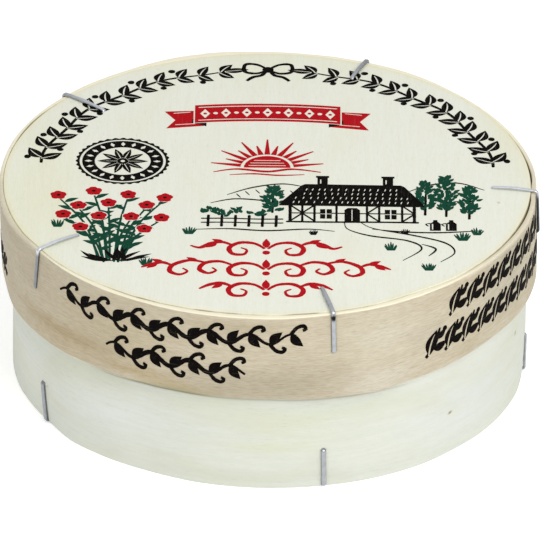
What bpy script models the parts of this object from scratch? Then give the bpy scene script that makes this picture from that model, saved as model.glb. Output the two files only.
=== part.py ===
"""A camembert in its shut round box: a wooden drum, a deep lid that covers its upper half, and the wire
staples that hold each flat disc in its bent hoop. The origin is on the ground under the drum's axis."""

import math

import bmesh
import bpy

# Driving dimensions, in metres
BOX_HEIGHT = 0.0430
LID_RADIUS = 0.0576
LID_DEPTH = 0.0200
LID_SHIFT = -0.00065
BASE_RADIUS = 0.0554
BASE_TOP_RADIUS = 0.05505
HOOP_THICKNESS = 0.00125
DISC_THICKNESS = 0.0015
LID_DISC_DROP = 0.0001
BASE_DISC_RAISE = 0.0010
EDGE_ROUNDING = 0.00025
CLEARANCE = 0.0003

# The bent lid hoop isn't a true circle: number of lobes, how far each stands out, azimuth of one (degrees)
RIM_LOBES = ((2, 0.00011, -73.0), (3, 0.00014, -11.0), (4, 0.00013, 8.0), (5, 0.00016, -6.0))
# Its free lower edge departs from the rim's outline in the same terms
LOWER_EDGE_LOBES = ((1, 0.00037, -2.0), (2, 0.00028, 64.0))
# Where the crevice round the lid's disc is wider: middle and half width (degrees), extra width
WIDE_CREVICES = ((-10.0, 38.0, 0.00035), (157.0, 20.0, 0.00020))

# Wire staples: azimuth (degrees), leg over the flat disc, leg along the hoop
WIRE_WIDTH = 0.0010
WIRE_THICKNESS = 0.00062
WIRE_BEND = 0.0009
TIP_BEND = 0.0005
TIP_LENGTH = 0.0013
LID_STAPLES = (
    (139.7, 0.0113, 0.0090),
    (68.2, 0.0087, 0.0090),
    (-3.0, 0.0097, 0.0088),
    (-75.5, 0.0111, 0.0086),
    (-148.4, 0.0111, 0.0087),
)
BASE_STAPLES = (
    (140.0, 0.0100, 0.0088),
    (69.0, 0.0100, 0.0088),
    (-5.0, 0.0100, 0.0084),
    (-77.6, 0.0100, 0.0090),
    (-148.6, 0.0100, 0.0092),
)

# Fineness of the round shapes
TURNS = 96
WIRE_ARC_STEPS = 3
HOLE_SIDES = 12

# Sizes that follow from the driving dimensions
LID_LOWER_EDGE = BOX_HEIGHT - LID_DEPTH
LID_DISC_TOP = BOX_HEIGHT - LID_DISC_DROP
LID_DISC_BOTTOM = LID_DISC_TOP - DISC_THICKNESS
BASE_DISC_TOP = BASE_DISC_RAISE + DISC_THICKNESS
WIRE_STAND_OFF = CLEARANCE + WIRE_THICKNESS / 2.0
HOLE_RADIUS = CLEARANCE + WIRE_WIDTH / 2.0
DISC_HOLE_DEPTH = 2.0 * (DISC_THICKNESS + CLEARANCE)
HOOP_HOLE_DEPTH = 2.0 * HOOP_THICKNESS
RIM_NOTCH_LENGTH = 4.0 * HOOP_THICKNESS


def standing_out(azimuth, lobes):
    """How far a line with these lobes stands out of a true circle, at an azimuth in radians."""
    return sum(out * math.cos(count * (azimuth - math.radians(turn))) for count, out, turn in lobes)


def lid_hoop_offset(azimuth, height):
    """The hoop has the rim's outline at the top and departs from it evenly towards its lower edge."""
    down = (BOX_HEIGHT - height) / LID_DEPTH
    return standing_out(azimuth, RIM_LOBES) + down * standing_out(azimuth, LOWER_EDGE_LOBES)


def lid_disc_offset(azimuth, height):
    """The disc follows the hoop, and stays further inside it where the crevice between them is wide."""
    widening = 0.0
    for middle, half_width, extra in WIDE_CREVICES:
        away = abs((math.degrees(azimuth) - middle + 180.0) % 360.0 - 180.0)
        if away < half_width:
            widening += extra * math.cos(math.radians(90.0 * away / half_width)) ** 2
    return lid_hoop_offset(azimuth, height) - widening


def finish(name, color, roughness, metallic=0.0):
    """A plain finish for one kind of piece."""
    material = bpy.data.materials.new(name)
    material.use_nodes = True
    shader = material.node_tree.nodes["Principled BSDF"]
    shader.inputs["Base Color"].default_value = (*color, 1.0)
    shader.inputs["Roughness"].default_value = roughness
    shader.inputs["Metallic"].default_value = metallic
    return material


def new_collection(name):
    collection = bpy.data.collections.new(name)
    bpy.context.scene.collection.children.link(collection)
    return collection


def turned(name, profile, closed, material, collection):
    """A piece turned round the Z axis. The profile of (radius, height) pairs runs down its outer side.

    A closed profile makes a ring. An open one starts and ends on the axis and makes a solid body.
    """
    mesh = bpy.data.meshes.new(name)
    edges = [(index, index + 1) for index in range(len(profile) - 1)]
    if closed:
        edges.append((len(profile) - 1, 0))
    mesh.from_pydata([(radius, 0.0, height) for radius, height in profile], edges, [])
    mesh.materials.append(material)
    piece = bpy.data.objects.new(name, mesh)
    collection.objects.link(piece)
    screw = piece.modifiers.new("turn", "SCREW")
    screw.steps = TURNS
    screw.render_steps = TURNS
    screw.use_merge_vertices = True
    screw.merge_threshold = 0.00001
    bevel = piece.modifiers.new("rounded edges", "BEVEL")
    bevel.width = EDGE_ROUNDING
    bevel.segments = 1
    bevel.limit_method = "ANGLE"
    bevel.angle_limit = math.radians(60.0)
    return piece


def make_mesh(piece):
    """Swaps a piece's modifiers for the mesh they make, with smooth sides and sharp edges."""
    evaluated = piece.evaluated_get(bpy.context.evaluated_depsgraph_get())
    mesh = bpy.data.meshes.new_from_object(evaluated)
    piece.modifiers.clear()
    piece.data = mesh
    mesh.shade_smooth()
    mesh.set_sharp_from_angle(angle=math.radians(40.0))


def bend_out_of_round(piece, offset):
    """Moves a piece of the lid outward by offset(azimuth, height) at its outline, and less further in."""
    for vertex in piece.data.vertices:
        scale = 1.0 + offset(math.atan2(vertex.co.y, vertex.co.x), vertex.co.z) / LID_RADIUS
        vertex.co.x *= scale
        vertex.co.y *= scale


def cut_round_hole(piece, name, azimuth, radius, height, depth, upright, cutters):
    """Cuts a hole a wire passes through, centred at a radius and height, upright or pointing outward."""
    mesh = bpy.data.meshes.new(name)
    builder = bmesh.new()
    bmesh.ops.create_cone(
        builder,
        cap_ends=True,
        segments=HOLE_SIDES,
        radius1=HOLE_RADIUS,
        radius2=HOLE_RADIUS,
        depth=depth,
    )
    builder.to_mesh(mesh)
    builder.free()
    cutter = bpy.data.objects.new(name, mesh)
    cutter.parent = piece.parent
    cutter.location = (radius * math.cos(azimuth), radius * math.sin(azimuth), height)
    cutter.rotation_euler = (0.0, 0.0 if upright else math.pi / 2, azimuth)
    cutter.hide_render = True
    cutter.display_type = "WIRE"
    cutters.objects.link(cutter)
    boolean = piece.modifiers.new(name, "BOOLEAN")
    boolean.operation = "DIFFERENCE"
    boolean.object = cutter


def rounded_route(corners, bends):
    """Points along straight runs between corners of (radius, height), each inner corner bent in an arc."""
    route = [corners[0]]
    for before, corner, after, bend in zip(corners, corners[1:], corners[2:], bends):
        incoming = math.atan2(corner[1] - before[1], corner[0] - before[0])
        outgoing = math.atan2(after[1] - corner[1], after[0] - corner[0])
        turn = (outgoing - incoming + math.pi) % (2.0 * math.pi) - math.pi
        side = math.copysign(math.pi / 2, turn)
        reach = bend * math.tan(abs(turn) / 2.0)
        start = (corner[0] - reach * math.cos(incoming), corner[1] - reach * math.sin(incoming))
        centre = (start[0] + bend * math.cos(incoming + side), start[1] + bend * math.sin(incoming + side))
        for step in range(WIRE_ARC_STEPS + 1):
            angle = incoming - side + turn * step / WIRE_ARC_STEPS
            route.append((centre[0] + bend * math.cos(angle), centre[1] + bend * math.sin(angle)))
    route.append(corners[-1])
    return route


def staple(name, azimuth, corners, holder, material, collection):
    """A flattened wire bent in the upright plane at an azimuth, through corners of (radius, height)."""
    curve = bpy.data.curves.new(name, "CURVE")
    curve.dimensions = "3D"
    curve.bevel_depth = WIRE_THICKNESS / 2.0
    curve.bevel_resolution = 2
    curve.use_fill_caps = True
    curve.materials.append(material)
    route = rounded_route(corners, (TIP_BEND, WIRE_BEND, TIP_BEND))
    spline = curve.splines.new("POLY")
    spline.points.add(len(route) - 1)
    for point, (radius, height) in zip(spline.points, route):
        point.co = (radius, 0.0, height, 1.0)
    wire = bpy.data.objects.new(name, curve)
    wire.parent = holder
    wire.rotation_euler.z = azimuth
    wire.scale.y = WIRE_WIDTH / WIRE_THICKNESS
    collection.objects.link(wire)


def build_lid(box, cutters, disc_finish, hoop_finish, wire_finish):
    """The flat disc, the bent hoop round it and the staples that hook over their joint."""
    place = bpy.data.objects.new("lid_place", None)
    place.location.x = LID_SHIFT
    box.objects.link(place)

    hoop_inside = LID_RADIUS - HOOP_THICKNESS
    disc_radius = hoop_inside - CLEARANCE
    disc_profile = [
        (0.0, LID_DISC_TOP),
        (disc_radius, LID_DISC_TOP),
        (disc_radius, LID_DISC_BOTTOM),
        (0.0, LID_DISC_BOTTOM),
    ]
    hoop_profile = [
        (LID_RADIUS, BOX_HEIGHT),
        (LID_RADIUS, LID_LOWER_EDGE),
        (hoop_inside, LID_LOWER_EDGE),
        (hoop_inside, BOX_HEIGHT),
    ]
    disc = turned("lid_disc", disc_profile, False, disc_finish, box)
    hoop = turned("lid_hoop", hoop_profile, True, hoop_finish, box)
    disc.parent = place
    hoop.parent = place
    make_mesh(disc)
    make_mesh(hoop)
    bend_out_of_round(disc, lid_disc_offset)
    bend_out_of_round(hoop, lid_hoop_offset)

    for number, (degrees, disc_leg, hoop_leg) in enumerate(LID_STAPLES, 1):
        azimuth = math.radians(degrees)
        rim = LID_RADIUS + lid_hoop_offset(azimuth, BOX_HEIGHT)
        over = BOX_HEIGHT + WIRE_STAND_OFF
        tip_height = BOX_HEIGHT - hoop_leg
        hoop_at_tip = LID_RADIUS + lid_hoop_offset(azimuth, tip_height)
        corners = [
            (rim - disc_leg, over - TIP_LENGTH),
            (rim - disc_leg, over),
            (rim + WIRE_STAND_OFF, over),
            (hoop_at_tip + WIRE_STAND_OFF, tip_height),
            (hoop_at_tip + WIRE_STAND_OFF - TIP_LENGTH, tip_height),
        ]
        staple(f"lid_staple_{number}", azimuth, corners, place, wire_finish, box)
        disc_hole = f"lid_disc_hole_{number}"
        cut_round_hole(disc, disc_hole, azimuth, rim - disc_leg, LID_DISC_TOP, DISC_HOLE_DEPTH, True, cutters)
        hoop_hole = f"lid_hoop_hole_{number}"
        hoop_middle = hoop_at_tip - HOOP_THICKNESS / 2.0
        cut_round_hole(hoop, hoop_hole, azimuth, hoop_middle, tip_height, HOOP_HOLE_DEPTH, False, cutters)


def build_base(box, cutters, disc_finish, drum_finish, wire_finish):
    """The drum, solid because the shut box can't be seen into, with its disc stapled in underneath."""
    recess_radius = BASE_RADIUS - HOOP_THICKNESS
    recess_top = BASE_DISC_TOP + CLEARANCE
    drum_top = LID_DISC_BOTTOM - CLEARANCE
    disc_radius = recess_radius - CLEARANCE
    drum_profile = [
        (0.0, drum_top),
        (BASE_TOP_RADIUS, drum_top),
        (BASE_RADIUS, LID_LOWER_EDGE),
        (BASE_RADIUS, 0.0),
        (recess_radius, 0.0),
        (recess_radius, recess_top),
        (0.0, recess_top),
    ]
    disc_profile = [
        (0.0, BASE_DISC_TOP),
        (disc_radius, BASE_DISC_TOP),
        (disc_radius, BASE_DISC_RAISE),
        (0.0, BASE_DISC_RAISE),
    ]
    drum = turned("base_drum", drum_profile, False, drum_finish, box)
    disc = turned("base_disc", disc_profile, False, disc_finish, box)
    make_mesh(drum)
    make_mesh(disc)

    under = BASE_DISC_RAISE - WIRE_STAND_OFF
    beside = BASE_RADIUS + WIRE_STAND_OFF
    for number, (degrees, disc_leg, drum_leg) in enumerate(BASE_STAPLES, 1):
        azimuth = math.radians(degrees)
        tip_radius = BASE_RADIUS - disc_leg
        corners = [
            (tip_radius, under + TIP_LENGTH),
            (tip_radius, under),
            (beside, under),
            (beside, drum_leg),
            (beside - TIP_LENGTH, drum_leg),
        ]
        staple(f"base_staple_{number}", azimuth, corners, None, wire_finish, box)
        disc_hole = f"base_disc_hole_{number}"
        cut_round_hole(disc, disc_hole, azimuth, tip_radius, BASE_DISC_RAISE, DISC_HOLE_DEPTH, True, cutters)
        side_hole = f"base_side_hole_{number}"
        cut_round_hole(drum, side_hole, azimuth, BASE_RADIUS, drum_leg, HOOP_HOLE_DEPTH, False, cutters)
        rim_notch = f"base_rim_notch_{number}"
        cut_round_hole(drum, rim_notch, azimuth, BASE_RADIUS, under, RIM_NOTCH_LENGTH, False, cutters)


for leftover in list(bpy.data.objects):
    bpy.data.objects.remove(leftover)

camembert = new_collection("camembert")
cutting_shapes = new_collection("cutting_shapes")
disc_wood = finish("pale disc wood", (0.80, 0.80, 0.68), 0.7)
hoop_wood = finish("tan hoop wood", (0.60, 0.48, 0.33), 0.7)
drum_wood = finish("whitish drum wood", (0.74, 0.76, 0.66), 0.7)
zinc_wire = finish("zinc wire", (0.62, 0.64, 0.68), 0.35, 1.0)
build_lid(camembert, cutting_shapes, disc_wood, hoop_wood, zinc_wire)
build_base(camembert, cutting_shapes, disc_wood, drum_wood, zinc_wire)
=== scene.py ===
"""A camembert's shut wooden box: peeled poplar, flattened zinc wire and a print in three inks."""
import math
import random

import bpy
from mathutils import Matrix, Vector, noise
from mathutils.geometry import delaunay_2d_cdt


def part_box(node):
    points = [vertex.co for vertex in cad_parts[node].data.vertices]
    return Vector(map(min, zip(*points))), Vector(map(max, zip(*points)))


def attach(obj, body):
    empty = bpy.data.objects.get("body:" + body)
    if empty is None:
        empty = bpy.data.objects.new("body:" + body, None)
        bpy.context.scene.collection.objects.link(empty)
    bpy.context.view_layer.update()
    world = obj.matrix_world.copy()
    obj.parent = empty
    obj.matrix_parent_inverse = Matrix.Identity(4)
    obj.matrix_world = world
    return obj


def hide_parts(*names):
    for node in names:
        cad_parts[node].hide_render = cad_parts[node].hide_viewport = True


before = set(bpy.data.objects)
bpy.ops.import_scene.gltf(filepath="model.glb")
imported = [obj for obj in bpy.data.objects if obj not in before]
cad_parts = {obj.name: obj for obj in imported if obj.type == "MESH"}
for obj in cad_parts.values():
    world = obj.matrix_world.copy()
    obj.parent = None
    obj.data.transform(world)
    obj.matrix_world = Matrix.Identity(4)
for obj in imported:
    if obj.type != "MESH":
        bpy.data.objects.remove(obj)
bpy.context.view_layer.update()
MM = 0.001

# The camera
# It looks down on the front of the lid from far off, so near and far edges come out almost alike.
# It is turned a little about its line of sight, and the box sits a pixel off the picture's middle.
PICTURE_PIXELS = 540
FOCAL_PIXELS = 13827.0
OPTICAL_CENTRE = (269.12, 270.33)
SENSOR_WIDTH = 36.0
CAMERA_ELEVATION = math.radians(30.06)
CAMERA_ROLL = math.radians(0.594)
CAMERA_DISTANCE = 2.971
CAMERA_REACH = 20.0
CAMERA_TARGET = Vector((0.0, 0.0, 21.4 * MM))

camera = bpy.data.objects.new("camera", bpy.data.cameras.new("camera"))
bpy.context.scene.collection.objects.link(camera)
camera.data.sensor_width = SENSOR_WIDTH
camera.data.lens = FOCAL_PIXELS * SENSOR_WIDTH / PICTURE_PIXELS
camera.data.shift_x = (PICTURE_PIXELS / 2 - OPTICAL_CENTRE[0]) / PICTURE_PIXELS
camera.data.shift_y = (OPTICAL_CENTRE[1] - PICTURE_PIXELS / 2) / PICTURE_PIXELS
camera.data.clip_end = CAMERA_REACH
away = Vector((0.0, -math.cos(CAMERA_ELEVATION), math.sin(CAMERA_ELEVATION)))
tilt = Matrix.Rotation(math.pi / 2 - CAMERA_ELEVATION, 4, "X")
camera.matrix_world = (
    Matrix.Translation(CAMERA_TARGET + away * CAMERA_DISTANCE) @ tilt @ Matrix.Rotation(CAMERA_ROLL, 4, "Z")
)
bpy.context.scene.camera = camera
bpy.context.scene.view_settings.view_transform = "Standard"

# The floor and the studio light
# A white light table under a white dome that is dimmer at the sides and at the rear, with one large soft lamp
# at the front right and above. The table's own light leaves the box no shadow.
FLOOR_HALF = 4.0
FLOOR_COLOR = (0.90, 0.90, 0.90)
FLOOR_ROUGHNESS = 0.9
FLOOR_GLOSS = 0.1
FLOOR_GLOW = 0.39
WHITE = (1.0, 1.0, 1.0)
DOME_STRENGTH = 0.86
DOME_SIDE_LOSS = 0.42
DOME_REAR_LOSS = 0.20
LAMP_AZIMUTH = math.radians(-60.0)
LAMP_ELEVATION = math.radians(42.0)
LAMP_DISTANCE = 0.60
LAMP_SIZE = 0.40
LAMP_POWER = 1.25


def set_inputs(tree, node, inputs):
    """Puts plain values, colours or other nodes' outputs on a node's inputs."""
    for key, value in inputs.items():
        socket = node.inputs[key]
        if isinstance(value, bpy.types.NodeSocket):
            tree.links.new(value, socket)
        else:
            socket.default_value = (*value, 1.0) if socket.type == "RGBA" else value


def add_node(tree, kind, inputs=None, **settings):
    """A shader node with its settings and its inputs."""
    node = tree.nodes.new("ShaderNode" + kind)
    for name, value in settings.items():
        setattr(node, name, value)
    set_inputs(tree, node, inputs or {})
    return node


def calculate(tree, operation, *values):
    """The result of one arithmetic step."""
    return add_node(tree, "Math", dict(enumerate(values)), operation=operation).outputs[0]


floor_mesh = bpy.data.meshes.new("floor")
floor_corners = [(x * FLOOR_HALF, y * FLOOR_HALF, 0.0) for x, y in ((-1, -1), (1, -1), (1, 1), (-1, 1))]
floor_mesh.from_pydata(floor_corners, [], [(0, 1, 2, 3)])
floor_finish = bpy.data.materials.new("pale floor")
floor_finish.use_nodes = True
set_inputs(floor_finish.node_tree, floor_finish.node_tree.nodes["Principled BSDF"], {
    "Base Color": FLOOR_COLOR,
    "Roughness": FLOOR_ROUGHNESS,
    "Specular IOR Level": FLOOR_GLOSS,
    "Emission Color": WHITE,
    "Emission Strength": FLOOR_GLOW,
})
floor_mesh.materials.append(floor_finish)
floor = bpy.data.objects.new("floor", floor_mesh)
bpy.context.scene.collection.objects.link(floor)

dome = bpy.data.worlds.new("dome")
bpy.context.scene.world = dome
dome.use_nodes = True
dome_tree = dome.node_tree
dome_place = add_node(dome_tree, "TexCoord").outputs["Generated"]
dome_way = add_node(dome_tree, "SeparateXYZ", {0: dome_place}).outputs
sideways = calculate(dome_tree, "MULTIPLY", dome_way[0], dome_way[0])
side_loss = calculate(dome_tree, "MULTIPLY", sideways, DOME_SIDE_LOSS)
rearward = calculate(dome_tree, "MAXIMUM", dome_way[1], 0.0)
rear_loss = calculate(dome_tree, "MULTIPLY", rearward, DOME_REAR_LOSS)
shine = calculate(dome_tree, "SUBTRACT", calculate(dome_tree, "SUBTRACT", 1.0, side_loss), rear_loss)
dome_light = calculate(dome_tree, "MULTIPLY", shine, DOME_STRENGTH)
set_inputs(dome_tree, dome_tree.nodes["Background"], {"Color": WHITE, "Strength": dome_light})

lamp_data = bpy.data.lights.new("soft lamp", "AREA")
lamp_data.shape = "DISK"
lamp_data.size = LAMP_SIZE
lamp_data.energy = LAMP_POWER
lamp = bpy.data.objects.new("soft lamp", lamp_data)
bpy.context.scene.collection.objects.link(lamp)
lamp_way = Vector((
    math.cos(LAMP_AZIMUTH) * math.cos(LAMP_ELEVATION),
    math.sin(LAMP_AZIMUTH) * math.cos(LAMP_ELEVATION),
    math.sin(LAMP_ELEVATION),
))
lamp_turn = lamp_way.to_track_quat("Z", "Y").to_matrix().to_4x4()
lamp.matrix_world = Matrix.Translation(lamp_way * LAMP_DISTANCE) @ lamp_turn
lamp.visible_camera = False

# The drum
# A strip of peeled poplar, greenish white, bent to a hoop whose ends overlap at the back. The cheese in it
# can't be seen, so the drum is closed above. Its lower edge is pressed in where each wire passes under it.
DRUM_THICKNESS = 1.25 * MM
DRUM_EDGE = 0.28 * MM
DRUM_UNEVEN = 0.05 * MM
# How a line departs from its circle: number of lobes, height in millimetres, azimuth of one in degrees
DRUM_LOBES = ((2, 0.27, -63.0), (3, 0.15, -4.0), (4, 0.17, 28.5))
# Where a wire pulls the lower edge in: middle and half width in degrees, depth in millimetres
DRUM_PULLS = (
    (-148.6, 15.0, 0.42), (-77.6, 15.0, 0.10), (-3.0, 15.0, 0.42), (69.0, 15.0, 0.30), (140.0, 15.0, 0.30),
)
# Bulges and hollows between the wires: middle and half width in degrees, height in millimetres
DRUM_BULGES = (
    (-139.0, 9.0, 0.36), (-117.0, 13.0, -0.28), (-159.0, 8.0, -0.15), (-44.0, 9.0, -0.18),
)
PULL_HEIGHT = 11.0 * MM
COVERED_FROM = 22.0 * MM
COVERED_OVER = 4.0 * MM
COVERED_TAPER = 0.40 * MM
DRUM_RECESS = 2.8 * MM
DRUM_LAP = math.radians(118.0)
LAP_STEP = 0.16 * MM
LAP_RAMP = math.radians(15.0)
DENT_DEPTH = 0.22 * MM
DENT_RADIUS = 0.75 * MM
NOTCH_HEIGHT = 0.72 * MM
NOTCH_HALF = 0.62 * MM
WIRE_WIDTH = 1.0 * MM
WIRE_THICKNESS = 0.62 * MM
WALL_ROWS = 30
# Extra rows of points on the drum, for the painted shade and dirt at the lid's lower edge
LID_EDGE_SHADE_AND_DIRT_ROWS = [20.0 * MM + 0.12 * MM * row for row in range(24)]
TIP_ROW = 0.25 * MM
DRUM_STATIONS = 540
FINE_TURN = math.radians(0.12)
FINE_TURNS = 9
LAP_EDGES = (math.radians(-0.01), math.radians(0.04))
SHARP_ANGLE = math.radians(50.0)
DRUM_PALE = (0.655, 0.673, 0.602)
DRUM_DEEP = (0.56, 0.59, 0.50)
DRUM_STAIN = (0.61, 0.62, 0.48)
# How strong the streaks, the fibres, the pores and the cloudy stains show
DRUM_MARKS = (0.28, 0.22, 0.10, 0.60)
# Stains, and at the front a soft darker band of painted shade under the lid's edge and a band darker towards
# the foot: azimuth in degrees, height, half length and half height in millimetres, tint
DRUM_STAINS_AND_SHADE = (
    (-157.0, 9.0, 18.0, 10.0, (1.10, 1.09, 1.14)), (-92.0, 10.0, 15.0, 2.2, (0.97, 0.97, 0.88)),
    (-45.7, 9.9, 1.0, 0.65, (0.45, 0.32, 0.20)), (-17.5, 16.2, 1.2, 0.7, (0.62, 0.55, 0.45)),
    (-75.0, 19.0, 30.0, 3.0, (0.96, 0.97, 0.95)), (-80.0, 2.0, 60.0, 4.0, (0.95, 0.95, 0.95)),
    (-128.0, 12.0, 24.0, 8.0, (1.07, 1.07, 1.12)), (-82.0, 13.0, 22.0, 9.0, (0.985, 0.985, 0.94)),
    (-40.0, 11.0, 24.0, 11.0, (1.01, 1.01, 1.08)),
)
LID_EDGE_SHADE_AND_DIRT_HALF = 0.24 * MM
LID_EDGE_SHADE_AND_DIRT_WAVE = 0.06 * MM
LID_EDGE_SHADE_AND_DIRT_STEP = 9.0
# Painted shade with dirt, a dark line at the lid's lower edge: azimuths a step apart in degrees, height on
# the drum in millimetres and share
LID_EDGE_SHADE_AND_DIRT = (
    (-126.0, 21.18, 0.50), (-117.0, 21.50, 0.95), (-108.0, 21.75, 1.00), (-99.0, 21.79, 0.50),
    (-90.0, 21.84, 0.45), (-81.0, 21.60, 0.45), (-72.0, 21.50, 0.50), (-63.0, 21.42, 0.25),
)
LID_EDGE_SHADE_AND_DIRT_COLOR = (0.26, 0.24, 0.14)
# How uneven a stain's edge is: changes per millimetre, and the most in millimetres along and across
SPOT_WAVES = 0.35
SPOT_RAGGED = (9.0, 2.2)
WOOD_RELIEF = 0.05 * MM
WOOD_GLOSS = 0.3
TO_MM = (1.0 / MM, 1.0 / MM, 1.0 / MM)


def staple_place(node, axis_x):
    """A CAD staple's azimuth, its inner leg's distance from the axis, and its lowest and highest point."""
    points = [vertex.co - Vector((axis_x, 0.0, 0.0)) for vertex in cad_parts[node].data.vertices]
    middle = sum(points, Vector()) / len(points)
    azimuth = math.atan2(middle.y, middle.x)
    outward = Vector((math.cos(azimuth), math.sin(azimuth), 0.0))
    inner = min(point.dot(outward) for point in points) + WIRE_THICKNESS / 2
    heights = [point.z for point in points]
    return azimuth, inner, min(heights) + WIRE_THICKNESS / 2, max(heights) - WIRE_THICKNESS / 2


def turn_between(first, second):
    """The turn from one azimuth to another, between half a turn back and half a turn on."""
    return (second - first + math.pi) % (2 * math.pi) - math.pi


def unevenness(azimuth, height, radius, size, seed):
    """A smooth random value of about -1 to 1 that changes over the given size and closes round the box."""
    place = Vector((radius * math.cos(azimuth), radius * math.sin(azimuth), height)) / size
    return noise.noise(place + Vector((seed, 0.0, 0.0)))


def standing_out(azimuth, lobes):
    """How far a line with these lobes stands out of its circle."""
    swells = [height * math.cos(count * (azimuth - math.radians(turn))) for count, height, turn in lobes]
    return sum(swells) * MM


def local_share(azimuth, middle, half_width):
    """One at the middle, falling to nothing at the half width; both are in degrees."""
    away = abs(turn_between(azimuth, math.radians(middle))) / math.radians(half_width)
    return math.cos(away * math.pi / 2) ** 2 if away < 1.0 else 0.0


def local_sum(azimuth, changes):
    """What local changes (middle and half width in degrees, amount) add up to at an azimuth."""
    return sum(amount * local_share(azimuth, middle, half_width) for middle, half_width, amount in changes)


def lap_step(azimuth, lap):
    """The strip's outer end rises over its inner one towards the lap, and ends there in a step."""
    before = turn_between(azimuth, lap)
    if before < 0.0 or before > LAP_RAMP:
        return 0.0
    return LAP_STEP * math.cos(before / LAP_RAMP * math.pi / 2) ** 2


def dent(azimuth, height, radius, tips):
    """How far the wall is pressed in beside the wire tips, given as (azimuth, height)."""
    depth = 0.0
    for tip_azimuth, tip_height in tips:
        across = radius * turn_between(tip_azimuth, azimuth)
        away = math.hypot(across, height - tip_height) / DENT_RADIUS
        if away < 1.0:
            depth += DENT_DEPTH * math.cos(away * math.pi / 2) ** 2
    return depth


def stations(turns, fine_places, lap):
    """Azimuths round the box: even ones, closer ones near wire tips, and a pair on both sides of the lap."""
    azimuths = [2 * math.pi * turn / turns for turn in range(turns)]
    for place in fine_places:
        near = [place + FINE_TURN * step for step in range(-FINE_TURNS, FINE_TURNS + 1)]
        azimuths += [azimuth % (2 * math.pi) for azimuth in near]
    azimuths += [lap + edge for edge in LAP_EDGES]
    return sorted(set(azimuths))


def arc(inset, height, radius, start, end, steps):
    """Points of a rounded edge as (inset, height), by angles in degrees: 0 points outward and 90 up."""
    points = []
    for step in range(steps + 1):
        angle = math.radians(start + (end - start) * step / steps)
        points.append((inset - radius * math.cos(angle), height + radius * math.sin(angle)))
    return points


def sweep_round(outline, azimuths, place, poles=None):
    """Points and faces of a piece turned round the box's axis.

    place(azimuth, inset, height) puts each point of the outline, which runs up the outer wall and down the
    inner one. An outline that isn't closed ends on the axis, at the points given as poles.
    """
    count = len(outline)
    points = [place(azimuth, inset, height) for azimuth in azimuths for inset, height in outline]
    faces = []
    for turn in range(len(azimuths)):
        here = turn * count
        there = (turn + 1) % len(azimuths) * count
        for row in range(count if poles is None else count - 1):
            following = (row + 1) % count
            faces.append((here + row, there + row, there + following, here + following))
        if poles:
            faces.append((len(azimuths) * count, there, here))
            faces.append((len(azimuths) * count + 1, here + count - 1, there + count - 1))
    return points + list(poles or ()), faces


def new_piece(name, points, faces, finish):
    """A smooth-shaded object with sharp edges kept, in the frame's own place."""
    mesh = bpy.data.meshes.new(name)
    mesh.from_pydata(points, [], faces)
    mesh.shade_smooth()
    mesh.set_sharp_from_angle(angle=SHARP_ANGLE)
    mesh.materials.append(finish)
    piece = bpy.data.objects.new(name, mesh)
    bpy.context.scene.collection.objects.link(piece)
    return piece


def paint(piece, name, values):
    """Keeps a value for each point of the piece, for its material to read."""
    piece.data.attributes.new(name, "FLOAT", "POINT").data.foreach_set("value", values)


def painted(tree, name):
    """The value that a piece keeps under this name, inside its material."""
    return add_node(tree, "Attribute", attribute_name=name).outputs["Fac"]


def calculate_places(tree, operation, first, second):
    """The result of one arithmetic step on places."""
    return add_node(tree, "VectorMath", {0: first, 1: second}, operation=operation).outputs[0]


def fade(tree, value, start, end, low=0.0, high=1.0):
    """Low up to start and high from end on, with a soft change between."""
    settings = {"Value": value, 1: start, 2: end, 3: low, 4: high}
    return add_node(tree, "MapRange", settings, interpolation_type="SMOOTHSTEP").outputs[0]


def mix_colors(tree, share, first, second, blend_type="MIX"):
    """Two colours mixed by a share."""
    mixed = add_node(tree, "Mix", {0: share, 6: first, 7: second}, data_type="RGBA", blend_type=blend_type)
    return mixed.outputs[2]


def stretched_noise(tree, position, per_mm, detail=2.0, distortion=0.0):
    """Random values that change by so much per millimetre along each axis."""
    scaled = calculate_places(tree, "MULTIPLY", position, per_mm)
    settings = {"Vector": scaled, "Scale": 1.0, "Detail": detail, "Distortion": distortion}
    return add_node(tree, "TexNoise", settings).outputs["Fac"]


def new_group(name, inputs, outputs):
    """An empty node group with named sockets, its inputs' outputs and its outputs' inputs."""
    group = bpy.data.node_groups.new(name, "ShaderNodeTree")
    for side, sockets in (("INPUT", inputs), ("OUTPUT", outputs)):
        for socket, kind in sockets:
            group.interface.new_socket(socket, in_out=side, socket_type="NodeSocket" + kind)
    return group, group.nodes.new("NodeGroupInput").outputs, group.nodes.new("NodeGroupOutput").inputs


def new_finish(name, relief, gloss):
    """A material with its node tree, its shader and the bump that gives the shader its relief."""
    finish = bpy.data.materials.new(name)
    finish.use_nodes = True
    tree = finish.node_tree
    shader = tree.nodes["Principled BSDF"]
    bump = add_node(tree, "Bump", {"Strength": 1.0, "Distance": relief})
    set_inputs(tree, shader, {"Specular IOR Level": gloss, "Normal": bump.outputs["Normal"]})
    return finish, tree, shader, bump


# Peeled poplar, for every wooden piece: cloudy stains, long soft streaks, fine fibres and short dark pores.
# Grain Position is in millimetres with the fibres along X.
poplar, poplar_in, poplar_out = new_group(
    "peeled poplar",
    [
        ("Grain Position", "Vector"), ("Pale", "Color"), ("Deep", "Color"), ("Stain", "Color"),
        ("Streaks", "Float"), ("Fibres", "Float"), ("Pores", "Float"), ("Stains", "Float"),
    ],
    [("Color", "Color"), ("Height", "Float"), ("Roughness", "Float")],
)
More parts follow.
